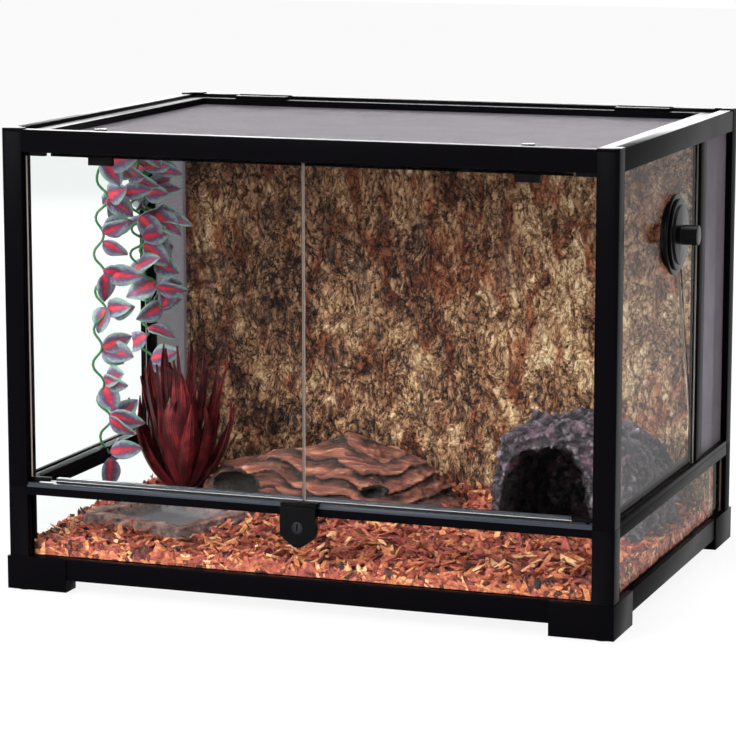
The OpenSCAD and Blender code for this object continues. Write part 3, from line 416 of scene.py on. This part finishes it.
# the cracks are dark lines of painted shade, with a bump to match
cracks = add_node(tree, "TexVoronoi", {"Vector": swirled, "Scale": 1 / (8 * mm)}, feature="DISTANCE_TO_EDGE")
crack = rescaled(tree, cracks.outputs["Distance"], -0.25, 0.0, 0.0, 0.1)
vein = math_of(tree, "SUBTRACT", speckle(tree, 18 * mm, 5.0, (1, 1, 0.5), 0.62, 2.2), 0.5)
vein = math_of(tree, "ABSOLUTE", vein)
crack = math_of(tree, "ADD", crack, rescaled(tree, vein, -0.4, 0.0, 0.0, 0.045))
fine = speckle(tree, 3.5 * mm, 6.0, (1, 1, 0.6), 0.7, 1.0)
x_place = add_node(tree, "SeparateXYZ", {0: place}).outputs["X"]
# painted shade and highlight: darker where the face lies deep and in the cracks, paler on the crests
level = math_of(tree, "ADD", math_of(tree, "MULTIPLY", relief_shade, 0.72), crack)
level = math_of(tree, "ADD", level, rescaled(tree, scale_tone, 0.2, 0.36))
level = math_of(tree, "ADD", level, rescaled(tree, fine, -0.18, 0.18, 0.3, 0.7))
level = math_of(tree, "ADD", level, rescaled(tree, x_place, -0.08, 0.12, -0.2, 0.15))
level = math_of(tree, "ADD", level, rescaled(tree, speckle(tree, 60 * mm, 2.0), -0.2, 0.2, 0.3, 0.7))
tone = color_ramp(tree, level, (0.02, "#1D110C"), (0.2, "#503328"), (0.38, "#80593F"), (0.56, "#A67A5A"),
                  (0.76, "#CBA47C"), (0.98, "#F2DAB4"))
rust = rescaled(tree, speckle(tree, 26 * mm, 3.0, (1, 1, 0.4), 0.5, 1.0), 0.0, 0.8, 0.48, 0.62)
rusty = add_node(tree, "Mix", {0: rust, 6: tone, 7: linear("#B4663C")}, data_type="RGBA",
                 blend_type="MULTIPLY")
ash = rescaled(tree, speckle(tree, 30 * mm, 3.0, (1, 1, 0.5), 0.5, 1.0), 0.0, 0.3, 0.58, 0.7)
ashy = add_node(tree, "Mix", {0: ash, 6: rusty.outputs[2], 7: linear("#6C5C58")}, data_type="RGBA")
tree.links.new(ashy.outputs[2], shader.inputs["Base Color"])
relief = math_of(tree, "ADD", fine, math_of(tree, "MULTIPLY", crack, 1.6))
bump = add_node(tree, "Bump", {"Height": relief, "Strength": 0.9, "Distance": 2 * mm})
tree.links.new(bump.outputs[0], shader.inputs["Normal"])
settle(bark, cork_bark, "bark", "case", "bark_background")
batten_pitch, batten_width, batten_short = 200 * mm, 24 * mm, 60 * mm
case_middle = Vector((-9.1 * mm, 3.7 * mm, 0))
battens = []
for place in (-1, 0, 1):
    low = Vector((case_middle.x + place * batten_pitch - batten_width / 2, front_y + foam_depth, board_low.z))
    high = Vector((low.x + batten_width, board_high.y, board_high.z - batten_short))
    battens.append([(low + high) / 2 + corner * (high - low) for corner in cube_corners])
settle(block_set("bark_board_battens", battens), black_abs, "bark")

# Bark chips. Loose shredded bark dyed red-brown, a few centimetres deep and banked up to the
# rear. A bed fills the case to just under the surface and thousands of chips lie over it.
rng = random.Random(4)
bed_low, bed_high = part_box("bark_chips")
chip_length, chip_width, chip_thickness = (8, 20), (3.5, 8.5), (1.0, 2.8)
loose_count, wall_counts = 7000, (("front", 1500), ("left", 500), ("right", 900))
bank_low, bank_high, bank_front, bank_slope, half_width, side_slope = 36.5, 47, -212, 70, 291, 60


def ground(x, y):
    """Height of the chips at a place in the case, as the CAD piece banks them."""
    px, py = (x - case_middle.x) / mm, (y - case_middle.y) / mm
    front = min(1, (py - bank_front) / bank_slope)
    wall = min(1, (half_width - abs(px)) / side_slope)
    return (bank_low + (bank_high - bank_low) * (0.25 + 0.75 * front) * (0.6 + 0.4 * wall)) * mm


chip_dye, tree, shader = new_material("dyed_bark_shredded", "#A8482C", 0.75)
hue = add_node(tree, "Attribute", attribute_name="chip_tone").outputs["Fac"]
level = math_of(tree, "ADD", hue, rescaled(tree, speckle(tree, 4 * mm, 4.0), -0.2, 0.2, 0.25, 0.75))
tone = color_ramp(tree, level, (0.0, "#170805"), (0.22, "#481A10"), (0.42, "#803628"), (0.6, "#A8553C"),
                  (0.78, "#C87C4A"), (1.0, "#E6B988"))
rosy = rescaled(tree, speckle(tree, 15 * mm, 1.0), 0.0, 0.45, 0.5, 0.6)
rosy = add_node(tree, "Mix", {0: rosy, 6: tone, 7: linear("#A84A46")}, data_type="RGBA")
tree.links.new(rosy.outputs[2], shader.inputs["Base Color"])
bed_inset, bed_sink = 5 * mm, 2.5 * mm
bed = merged_copy("bark_chips", "chip_bed")
for v in bed.data.vertices:
    v.co.x = min(max(v.co.x, bed_low.x + bed_inset), bed_high.x - bed_inset)
    v.co.y = max(v.co.y, bed_low.y + bed_inset)
    v.co.z -= bed_sink if v.co.z > bed_low.z + 12 * mm else 0
mark(bed, "chip_tone", [0.4] * len(bed.data.vertices))
settle(bed, chip_dye, "chips", "case", "bark_chips")


def turned_offset(x, y, middle, degrees):
    """A place in millimetres from a furnishing's middle, along its own axes."""
    a = math.radians(degrees)
    dx, dy = (x - case_middle.x) / mm - middle[0], (y - case_middle.y) / mm - middle[1]
    return abs(dx * math.cos(a) + dy * math.sin(a)), abs(dy * math.cos(a) - dx * math.sin(a))


dish_place, dish_turn, dish_reach = (-192, -86), -18, (66, 60)
rock_place, rock_reach, mouth_place, mouth_reach = (196, 45), (70, 68), (178, -15), (38, 30)
root_place, root_turn, root_reach = (-70, 45), 9, (114, 38)


def covered(x, y):
    """Whether the dish, the cave or the driftwood stands here."""
    dish = turned_offset(x, y, dish_place, dish_turn)
    rock = turned_offset(x, y, rock_place, 0)
    mouth = turned_offset(x, y, mouth_place, 0)
    root = turned_offset(x, y, root_place, root_turn)
    in_mouth = mouth[0] < mouth_reach[0] and mouth[1] < mouth_reach[1]
    in_rock = rock[0] < rock_reach[0] and rock[1] < rock_reach[1] and not in_mouth
    in_dish = dish[0] < dish_reach[0] and dish[1] < dish_reach[1]
    return in_dish or in_rock or (root[0] / root_reach[0]) ** 2 + (root[1] / root_reach[1]) ** 2 < 1


def chip(middle, turn):
    """A split sliver's eight corners, of its own size and shape."""
    size = Vector((rng.uniform(*chip_length), rng.uniform(*chip_width), rng.uniform(*chip_thickness))) * mm
    corners = []
    gap = rng.uniform(0, 0.9) * mm
    for corner in cube_corners:
        split = Vector((corner.x + rng.uniform(-0.25, 0.25), corner.y * rng.uniform(0.45, 1.1), corner.z))
        spot = middle + turn @ (split * size)
        spot.x = min(max(spot.x, bed_low.x + gap), bed_high.x - gap)
        spot.y = min(max(spot.y, bed_low.y + gap), bed_high.y - gap)
        spot.z = max(spot.z, bed_low.z + gap)
        corners.append(spot)
    return corners


chips = []
while len(chips) < loose_count:
    x, y = rng.uniform(bed_low.x, bed_high.x), rng.uniform(bed_low.y, bed_high.y - 2 * mm)
    if covered(x, y):
        continue
    lie = (Matrix.Rotation(rng.uniform(0, math.tau), 3, "Z") @ Matrix.Rotation(rng.gauss(0, 0.38), 3, "Y")
           @ Matrix.Rotation(rng.gauss(0, 0.5), 3, "X"))
    chips.append(chip(Vector((x, y, ground(x, y) + rng.uniform(-3, 4.5) * mm)), lie))
# those pressed against the low panes stand on edge, flat to the glass
for wall, share in wall_counts:
    for i in range(share):
        x, y = rng.uniform(bed_low.x, bed_high.x), rng.uniform(bed_low.y, bed_high.y)
        inset = rng.uniform(1.8, 5) * mm
        x = {"left": bed_low.x + inset, "right": bed_high.x - inset}.get(wall, x)
        y = bed_low.y + inset if wall == "front" else y
        lie = Matrix.Rotation(rng.uniform(0, math.tau), 3, "Z") @ Matrix.Rotation(rng.gauss(0, 0.2), 3, "X")
        upright = Matrix.Rotation(math.pi / 2, 3, "X" if wall == "front" else "Y")
        chips.append(chip(Vector((x, y, rng.uniform(bed_low.z + 2 * mm, ground(x, y)))), upright @ lie))
loose = block_set("loose_chips", chips)
tones = []
for c in chips:
    tones += [min(1, max(0.05, rng.gauss(0.52, 0.22)))] * 8
mark(loose, "chip_tone", tones)
settle(loose, chip_dye, "chips")


# Driftwood. A washed-up root, brown with patches of grey. It weathers in layers whose lips stand out
# over hollows, and its grain runs along it. Its colour is painted dark under each lip and in its
# hollows as shade, and lighter where it stands out as painted highlight.
def sculpted(node, name, voxel, move, smooth=0):
    """A CAD node's shape remeshed evenly, each point then moved by a rule along its normal."""
    piece = merged_copy(node, name)
    apply_modifier(piece, "REMESH", mode="VOXEL", voxel_size=voxel)
    if smooth:
        apply_modifier(piece, "SMOOTH", factor=0.6, iterations=smooth)
    normals = [v.normal.copy() for v in piece.data.vertices]
    values = []
    for v, n in zip(piece.data.vertices, normals):
        depth, value = move(v.co.copy(), n)
        v.co += n * depth
        values.append(value)
    mark(piece, "relief_shade", values)
    select_only(piece)
    bpy.ops.object.shade_smooth()
    return piece


def relief_shade_level(tree, grain, spread):
    """A sculpted piece's own relief, which carries its painted shade and highlight, with a finer grain over
    it, from 0 to 1.
    """
    relief_shade = add_node(tree, "Attribute", attribute_name="relief_shade").outputs["Fac"]
    return math_of(tree, "ADD", relief_shade, rescaled(tree, grain, -spread, spread, 0.25, 0.75))


wood_low, wood_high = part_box("driftwood")
wood_middle = (wood_low + wood_high) / 2
# middle and reach in mm of the hollow under the root end and of the knot hole, both painted dark as shade
hollows_painted_dark = ((Vector((-97, -34, 17)), Vector((29, 25, 15))), (Vector((52, -44, 19)), Vector((14, 9, 6))))


def wood_grain(p, n):
    q = Matrix.Rotation(math.radians(-root_turn), 3, "Z") @ (p - wood_middle) / mm + Vector((0, 0, 30))
    bend = noise.noise(Vector((q.x / 60, q.y / 50, 1.5)))
    bend += 0.35 * noise.noise(Vector((q.x / 22, q.y / 20, 4)))
    layer = (q.z + 17 * bend + 0.12 * q.x) / (17 + 5 * noise.noise(Vector((q.x / 90, 3, 3))))
    lip = layer - math.floor(layer)
    ridge = noise.fractal(Vector((q.x / 38, q.y / 7, (q.z + 8 * bend) / 5)), 0.7, 2.1, 5)
    knots = noise.noise(Vector((q.x / 38, q.y / 26, q.z / 22)))
    # painted shade just under each lip, where the layer sinks, and painted highlight where ridges and knots
    # stand out
    shade = 0.66 - 0.75 * lip ** 4 - 0.12 * lip + 0.3 * ridge + 0.24 * knots
    for middle, reach in hollows_painted_dark:
        off = q - middle
        if (off.x / reach.x) ** 2 + (off.y / reach.y) ** 2 + (off.z / reach.z) ** 2 < 1.15:
            # painted shade: the hollows are painted near black
            shade -= 2
    side = 1 - max(0, n.z) ** 2
    return ((5.5 * (1 - lip) * side - 4) + 2.4 * ridge + 4 * knots) * mm, shade


wood = sculpted("driftwood", "driftwood_root", 1.5 * mm, wood_grain, 3)
weathered_wood, tree, shader = new_material("weathered_root_wood", "#6A3C2E", 0.75)
streak = speckle(tree, 4 * mm, 6.0, (0.14, 1, 1), 0.7, 0.4)
level = relief_shade_level(tree, streak, 0.36)
tone = color_ramp(tree, level, (0.0, "#0E0705"), (0.22, "#341812"), (0.45, "#582C22"),
                  (0.66, "#784233"), (0.86, "#9A624C"), (1.0, "#BC8C74"))
grey = rescaled(tree, speckle(tree, 35 * mm), 0.0, 0.35, 0.5, 0.65)
weathered = add_node(tree, "Mix", {0: grey, 6: tone, 7: linear("#4A3A36")}, data_type="RGBA")
tree.links.new(weathered.outputs[2], shader.inputs["Base Color"])
bump = add_node(tree, "Bump", {"Height": streak, "Strength": 1.0, "Distance": 2 * mm})
tree.links.new(bump.outputs[0], shader.inputs["Normal"])
settle(wood, weathered_wood, "driftwood", "case", "driftwood")


# Cave. A hide cast in resin stone, grey with a violet cast, with knobbly bark-like relief outside.
# Its lumps and knobs are painted lighter as highlight, and the inside of its hollow painted dark as shade.
cave_low, cave_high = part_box("cave")
hollow_reach = 66 * mm
hollow_axis = Vector(((cave_low.x + cave_high.x) / 2 - 14 * mm, 0, cave_low.z + 35 * mm))


def cave_relief(p, n):
    drift = Vector((noise.noise(p / 0.014), noise.noise(p / 0.014 + Vector((5, 5, 5))), 0)) * 0.8
    lump = min(1, cell_edge(p / 0.013 + drift) * 1.8)
    knob = min(1, cell_edge(p / 0.0055 + drift) * 1.6)
    rough = noise.fractal(p / 0.006, 0.8, 2.1, 4)
    inward = hollow_axis - p
    inward.y = 0
    inside = inward.length < hollow_reach and inward.normalized().dot(n) > 0.25
    # painted shade inside the hollow, and painted highlight on the raised lumps, knobs and grit
    shade = -0.3 if inside else 0.06 + 0.36 * lump + 0.3 * knob + 0.34 * rough
    return (-3.4 + 4.6 * lump + 1.6 * knob + 1.6 * rough) * mm, shade


cave = sculpted("cave", "cave_hide", 1.7 * mm, cave_relief, 2)
cast_stone, tree, shader = new_material("cast_resin_stone", "#5A5058", 0.8)
grit = speckle(tree, 3.5 * mm, 6.0, roughness=0.7)
tone = color_ramp(tree, relief_shade_level(tree, grit, 0.28), (0.0, "#0E0B0E"), (0.26, "#2C252A"), (0.5, "#564B53"),
                  (0.74, "#85787F"), (1.0, "#D0C0CA"))
rosy = rescaled(tree, speckle(tree, 18 * mm, 2.0), 0.0, 0.3, 0.52, 0.62)
tinted = add_node(tree, "Mix", {0: rosy, 6: tone, 7: linear("#7A5068")}, data_type="RGBA")
tree.links.new(tinted.outputs[2], shader.inputs["Base Color"])
bump = add_node(tree, "Bump", {"Height": grit, "Strength": 0.9, "Distance": 1.8 * mm})
tree.links.new(bump.outputs[0], shader.inputs["Normal"])
settle(cave, cast_stone, "cave_rock", "case", "cave")

# Dish. A shallow water dish cast in the same stone, pink-brown and pitted round its rim, with a
# smooth grey recess. Its colour is painted darker in the pits of its sides as shade, and lighter
# where the grit stands out as painted highlight.
dish_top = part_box("dish")[1].z
recess_edge, recess_floor = dish_top - 3 * mm, dish_top - 7 * mm


def dish_relief(p, n):
    pit = noise.fractal(p / 0.009, 0.8, 2.1, 4)
    hole = min(1, cell_edge(p / 0.011) * 2.2)
    steep = 1 - abs(n.z)
    recess = n.z > 0.3 and p.z < dish_top - 4 * mm
    amount = 0.15 if recess else 0.35 + 0.8 * steep
    # painted shade in the pits on the steep sides, and painted highlight where the grit stands out
    return (pit * 1.6 + hole * 2 - 2.2) * mm * amount, 0.42 + 0.3 * pit + (0.25 * hole - 0.2) * steep


dish = sculpted("dish", "water_dish", 1.7 * mm, dish_relief, 1)
pink_stone, tree, shader = new_material("cast_pink_stone", "#7A5A55", 0.7)
grit = speckle(tree, 4 * mm, 5.0)
tone = color_ramp(tree, relief_shade_level(tree, grit, 0.2), (0.05, "#1E1314"), (0.32, "#5C403C"), (0.58, "#8C6860"),
                  (0.95, "#C29C90"))
height = add_node(tree, "SeparateXYZ", {0: add_node(tree, "TexCoord").outputs["Object"]}).outputs["Z"]
deep = rescaled(tree, height, 1.0, 0.0, recess_floor, recess_edge)
facing = add_node(tree, "SeparateXYZ", {0: add_node(tree, "NewGeometry").outputs["Normal"]}).outputs["Z"]
recess = math_of(tree, "MULTIPLY", deep, rescaled(tree, facing, 0.0, 1.0, 0.3, 0.6))
glaze = add_node(tree, "Mix", {0: recess, 6: tone, 7: linear("#5F5E62")}, data_type="RGBA")
tree.links.new(glaze.outputs[2], shader.inputs["Base Color"])
bump = add_node(tree, "Bump", {"Height": grit, "Strength": 0.6, "Distance": 1 * mm})
tree.links.new(bump.outputs[0], shader.inputs["Normal"])
settle(dish, pink_stone, "dish_rock", "case", "dish")

# Red plant. A moulded bromeliad of broad dark red blades, channelled along the middle, that lean
# out and bend up again. It springs from a small dark stone.
plant_low, plant_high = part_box("red_plant")
plant_foot = Vector(((plant_low.x + plant_high.x) / 2, (plant_low.y + plant_high.y) / 2, plant_low.z))
blade_count, inner_blades, middle_blades, blade_width = 34, 7, 12, (14, 22)
leans, lengths, curls = (0.16, 0.5, 0.92), (152, 142, 118), ((0.1, 0.3), (0.35, 0.6), (0.85, 1.2))
turn_between_blades, blade_root, leaf_wall = 2.4, 12 * mm, 0.9 * mm


def blade(name, length, width, channel, curl, sway):
    """A strap leaf that grows along +X from the origin: pointed, channelled, bending up and aside."""
    bpy.ops.mesh.primitive_grid_add(x_subdivisions=16, y_subdivisions=6, size=1, calc_uvs=True)
    leaf = bpy.context.object
    leaf.name = name
    for v in leaf.data.vertices:
        u, w = v.co.x + 0.5, v.co.y * 2
        taper = math.sin(math.pi * (0.2 + 0.8 * u)) ** 0.8 if u > 0.3 else 0.55 + 1.4 * u
        half = width / 2 * max(0.03, taper)
        run = length * math.sin(curl * u) / curl
        rise = length * (1 - math.cos(curl * u)) / curl
        turn = sway * 1.4 * u
        across, lift = w * half, channel * abs(w) * half + 0.8 * mm * math.cos(11 * w)
        aside = sway * 9 * mm * math.sin(5.5 * u)
        v.co = (run, across * math.cos(turn) - lift * math.sin(turn) + aside,
                rise + across * math.sin(turn) + lift * math.cos(turn))
    leaf.data.update()
    apply_modifier(leaf, "SOLIDIFY", thickness=leaf_wall, offset=0)
    return leaf


rng = random.Random(11)
blades = []
for i in range(blade_count):
    ring = 0 if i < inner_blades else 1 if i < inner_blades + middle_blades else 2
    lean = leans[ring] + rng.uniform(-0.08, 0.08)
    length = lengths[ring] * rng.uniform(0.85, 1.05) * mm
    curl = rng.uniform(*curls[ring])
    one = blade("blade", length, rng.uniform(*blade_width) * mm, 0.6, curl, rng.uniform(-0.6, 0.6))
    one.data.transform(Matrix.Translation(plant_foot + Vector((0, 0, blade_root)))
                       @ Matrix.Rotation(i * turn_between_blades + rng.uniform(-0.2, 0.2), 4, "Z")
                       @ Matrix.Translation((rng.uniform(3, 8) * mm, 0, 0))
                       @ Matrix.Rotation(-(math.pi / 2 - lean), 4, "Y")
                       @ Matrix.Rotation(rng.uniform(-0.4, 0.4), 4, "X"))
    blades.append(one)
select_only(*blades)
bpy.ops.object.join()
plant = blades[0]
plant.name = "red_blades"
for v in plant.data.vertices:
    v.co.x = min(max(v.co.x, plant_low.x - 6 * mm), plant_high.x + 8 * mm)
    v.co.z = min(v.co.z, plant_high.z + 10 * mm)
select_only(plant)
bpy.ops.object.shade_smooth_by_angle(angle=math.radians(50))
red_leaf, tree, shader = new_material("dark_red_polythene_moulded", "#5E1822", 0.42, Specular_IOR_Level=0.2)
along = add_node(tree, "Mapping", {"Vector": add_node(tree, "TexCoord").outputs["UV"], "Scale": (1.5, 9, 1)})
stripes = add_node(tree, "TexNoise", {"Vector": along.outputs[0], "Scale": 1.0, "Detail": 4.0}).outputs[0]
mottle = math_of(tree, "MULTIPLY", math_of(tree, "ADD", stripes, speckle(tree, 16 * mm, 4.0)), 0.5)
tone = color_ramp(tree, mottle, (0.34, "#180507"), (0.5, "#4A1017"), (0.66, "#8E2C2C"))
tree.links.new(tone, shader.inputs["Base Color"])
bump = add_node(tree, "Bump", {"Height": speckle(tree, 2 * mm, 2.0), "Strength": 0.3, "Distance": 0.4 * mm})
tree.links.new(bump.outputs[0], shader.inputs["Normal"])
settle(plant, red_leaf, "plant", "case", "red_plant")
bpy.ops.mesh.primitive_ico_sphere_add(subdivisions=4, radius=1)
stone = bpy.context.object
stone.name = "plant_stone"
stone_half, stone_middle = (27, 25, 11), plant_foot + Vector((0, 0, 11 * mm))
for v in stone.data.vertices:
    swell = 1 + 0.16 * noise.noise(v.co * 2.4)
    ball = Vector((v.co.x, v.co.y, max(v.co.z, -0.9)))
    v.co = ball * Vector(stone_half) * mm * swell + stone_middle
settle(stone, cast_stone, "plant")

# Leaf vine. A cloth vine hung from a suction cup: green plastic stems that loop from stalk to
# stalk, with printed leaves, grey-violet with a red heart and a pale green edge.
cup_low, cup_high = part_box("suction_cup")
cup_middle = (cup_low + cup_high) / 2
wall_x = cup_low.x
leaf_length, leaf_width, leaf_cloth, stem_radius = (27, 37), (19, 25), 0.7 * mm, 1.3 * mm
leaf_top = 421 * mm


def vine_leaf(name, length, width, droop):
    """One printed leaf along +X from its stalk, with its own map from stalk to tip."""
    bpy.ops.mesh.primitive_grid_add(x_subdivisions=10, y_subdivisions=6, size=1, calc_uvs=True)
    leaf = bpy.context.object
    leaf.name = name
    for v in leaf.data.vertices:
        u, w = v.co.x + 0.5, v.co.y * 2
        half = width / 2 * max(0.03, math.sin(math.pi * u ** 0.8) ** 0.75)
        lift = 0.2 * abs(w) * half - droop * length * u * u + 0.02 * length * math.sin(u * 9 + 3 * w)
        v.co = (u * length, w * half, lift)
    leaf.data.update()
    apply_modifier(leaf, "SOLIDIFY", thickness=leaf_cloth, offset=0)
    return leaf


rng = random.Random(23)
stems = []
leaves = []
# leaves point both ways at a stalk, but on the strand nearest the doors they hang to one side
both_sides, one_side = ((0.5, -0.4), (0.2, 2.7), (-0.5, 3.0), (0.9, -0.9)), (-0.3, 0.4, 1.1)
# each strand: distance along the side from the cup, reach from the glass, top, length, and the
# distance from stalk to stalk
strands = ((-56, 14, 396, 300, 37), (-30, 26, 406, 70, 24), (-6, 32, 408, 130, 24),
           (20, 36, 408, 190, 24), (40, 22, 404, 235, 24))
for strand, (along, reach, top, length, step) in enumerate(strands):
    nodes = []
    for i in range(length // step + 1):
        sway = Vector((3 * math.sin(i * 1.9 + along), 6 * math.sin(i * 0.9 + along), 0))
        nodes.append(Vector((wall_x, cup_middle.y, 0)) + (Vector((reach, along, top - step * i)) + sway) * mm)
    points = [cup_middle + Vector((6 * mm, 0, 0))]
    for a, b in zip(nodes, nodes[1:]):
        points += [a, (a + b) / 2 - Vector((min(10, reach - 4) * mm, 3 * mm, 0))]
    points.append(nodes[-1])
    line = bpy.data.curves.new("stem", "CURVE")
    line.dimensions = "3D"
    spline = line.splines.new("BEZIER")
    spline.bezier_points.add(len(points) - 1)
    for knot, p in zip(spline.bezier_points, points):
        knot.co = p
        knot.handle_left_type = knot.handle_right_type = "AUTO"
    line.bevel_depth = stem_radius
    line.bevel_resolution = 2
    line.resolution_u = 5
    line.use_fill_caps = True
    stem = bpy.data.objects.new("stem", line)
    bpy.context.scene.collection.objects.link(stem)
    select_only(stem)
    bpy.ops.object.convert(target="MESH")
    stems.append(bpy.context.object)
    for node in nodes:
        for pointing in rng.choice(both_sides) if strand else one_side:
            leaf = vine_leaf("leaf", rng.uniform(*leaf_length) * mm, rng.uniform(*leaf_width) * mm,
                             rng.uniform(0.05, 0.3))
            stalk = Vector((0, rng.uniform(-6, 6), rng.uniform(-5, 5))) * mm
            leaf.data.transform(Matrix.Translation(node + stalk)
                                @ Matrix.Rotation(rng.gauss(0.3, 0.5), 4, "Z")
                                @ Matrix.Rotation(pointing + rng.gauss(0, 0.35), 4, "Y")
                                @ Matrix.Rotation(math.pi / 2 + rng.gauss(0, 0.5), 4, "X"))
            leaves.append(leaf)
select_only(*leaves)
bpy.ops.object.join()
foliage = leaves[0]
foliage.name = "vine_leaves"
for v in foliage.data.vertices:
    v.co.x = max(v.co.x, wall_x + 1 * mm)
    v.co.z = min(v.co.z, leaf_top)
select_only(foliage)
bpy.ops.object.shade_smooth()
leaf_print, tree, shader = new_material("printed_polyester_leaf_cut", "#6A3A48", 0.55)
uv = add_node(tree, "SeparateXYZ", {0: add_node(tree, "TexCoord").outputs["UV"]}).outputs
across = math_of(tree, "ABSOLUTE", rescaled(tree, uv["Y"], -1.0, 1.0))
from_vein = math_of(tree, "ADD", across, math_of(tree, "MULTIPLY", uv["X"], 0.45))
ragged = math_of(tree, "ADD", from_vein, rescaled(tree, speckle(tree, 3.5 * mm), -0.22, 0.22, 0.25, 0.75))
level = math_of(tree, "MULTIPLY", ragged, 0.7)
tone = color_ramp(tree, level, (0.1, "#E03040"), (0.24, "#C02A48"), (0.34, "#6E3F5E"),
                  (0.5, "#5C5368"), (0.68, "#8A84A0"), (0.84, "#7FA890"), (1.0, "#9CC8AE"))
tree.links.new(tone, shader.inputs["Base Color"])
settle(foliage, leaf_print, "vine", "case", "leaf_vine")
select_only(*stems)
bpy.ops.object.join()
stems[0].name = "vine_stems"
green_plastic, tree, shader = new_material("green_polythene_extruded", "#2F6B3C", 0.45)
settle(stems[0], green_plastic, "vine")

# Suction cup. Clear soft vinyl, moulded, pressed on the left-hand pane with a small hook knob.
clear_vinyl, tree, shader = new_material("clear_vinyl_moulded", "#EEF4F4", 0.12, IOR=1.3,
                                         Transmission_Weight=0.9)
settle(rounded("suction_cup", "vine_suction_cup", mould_radius, 2), clear_vinyl, "clear_vinyl", "case",
       "suction_cup")
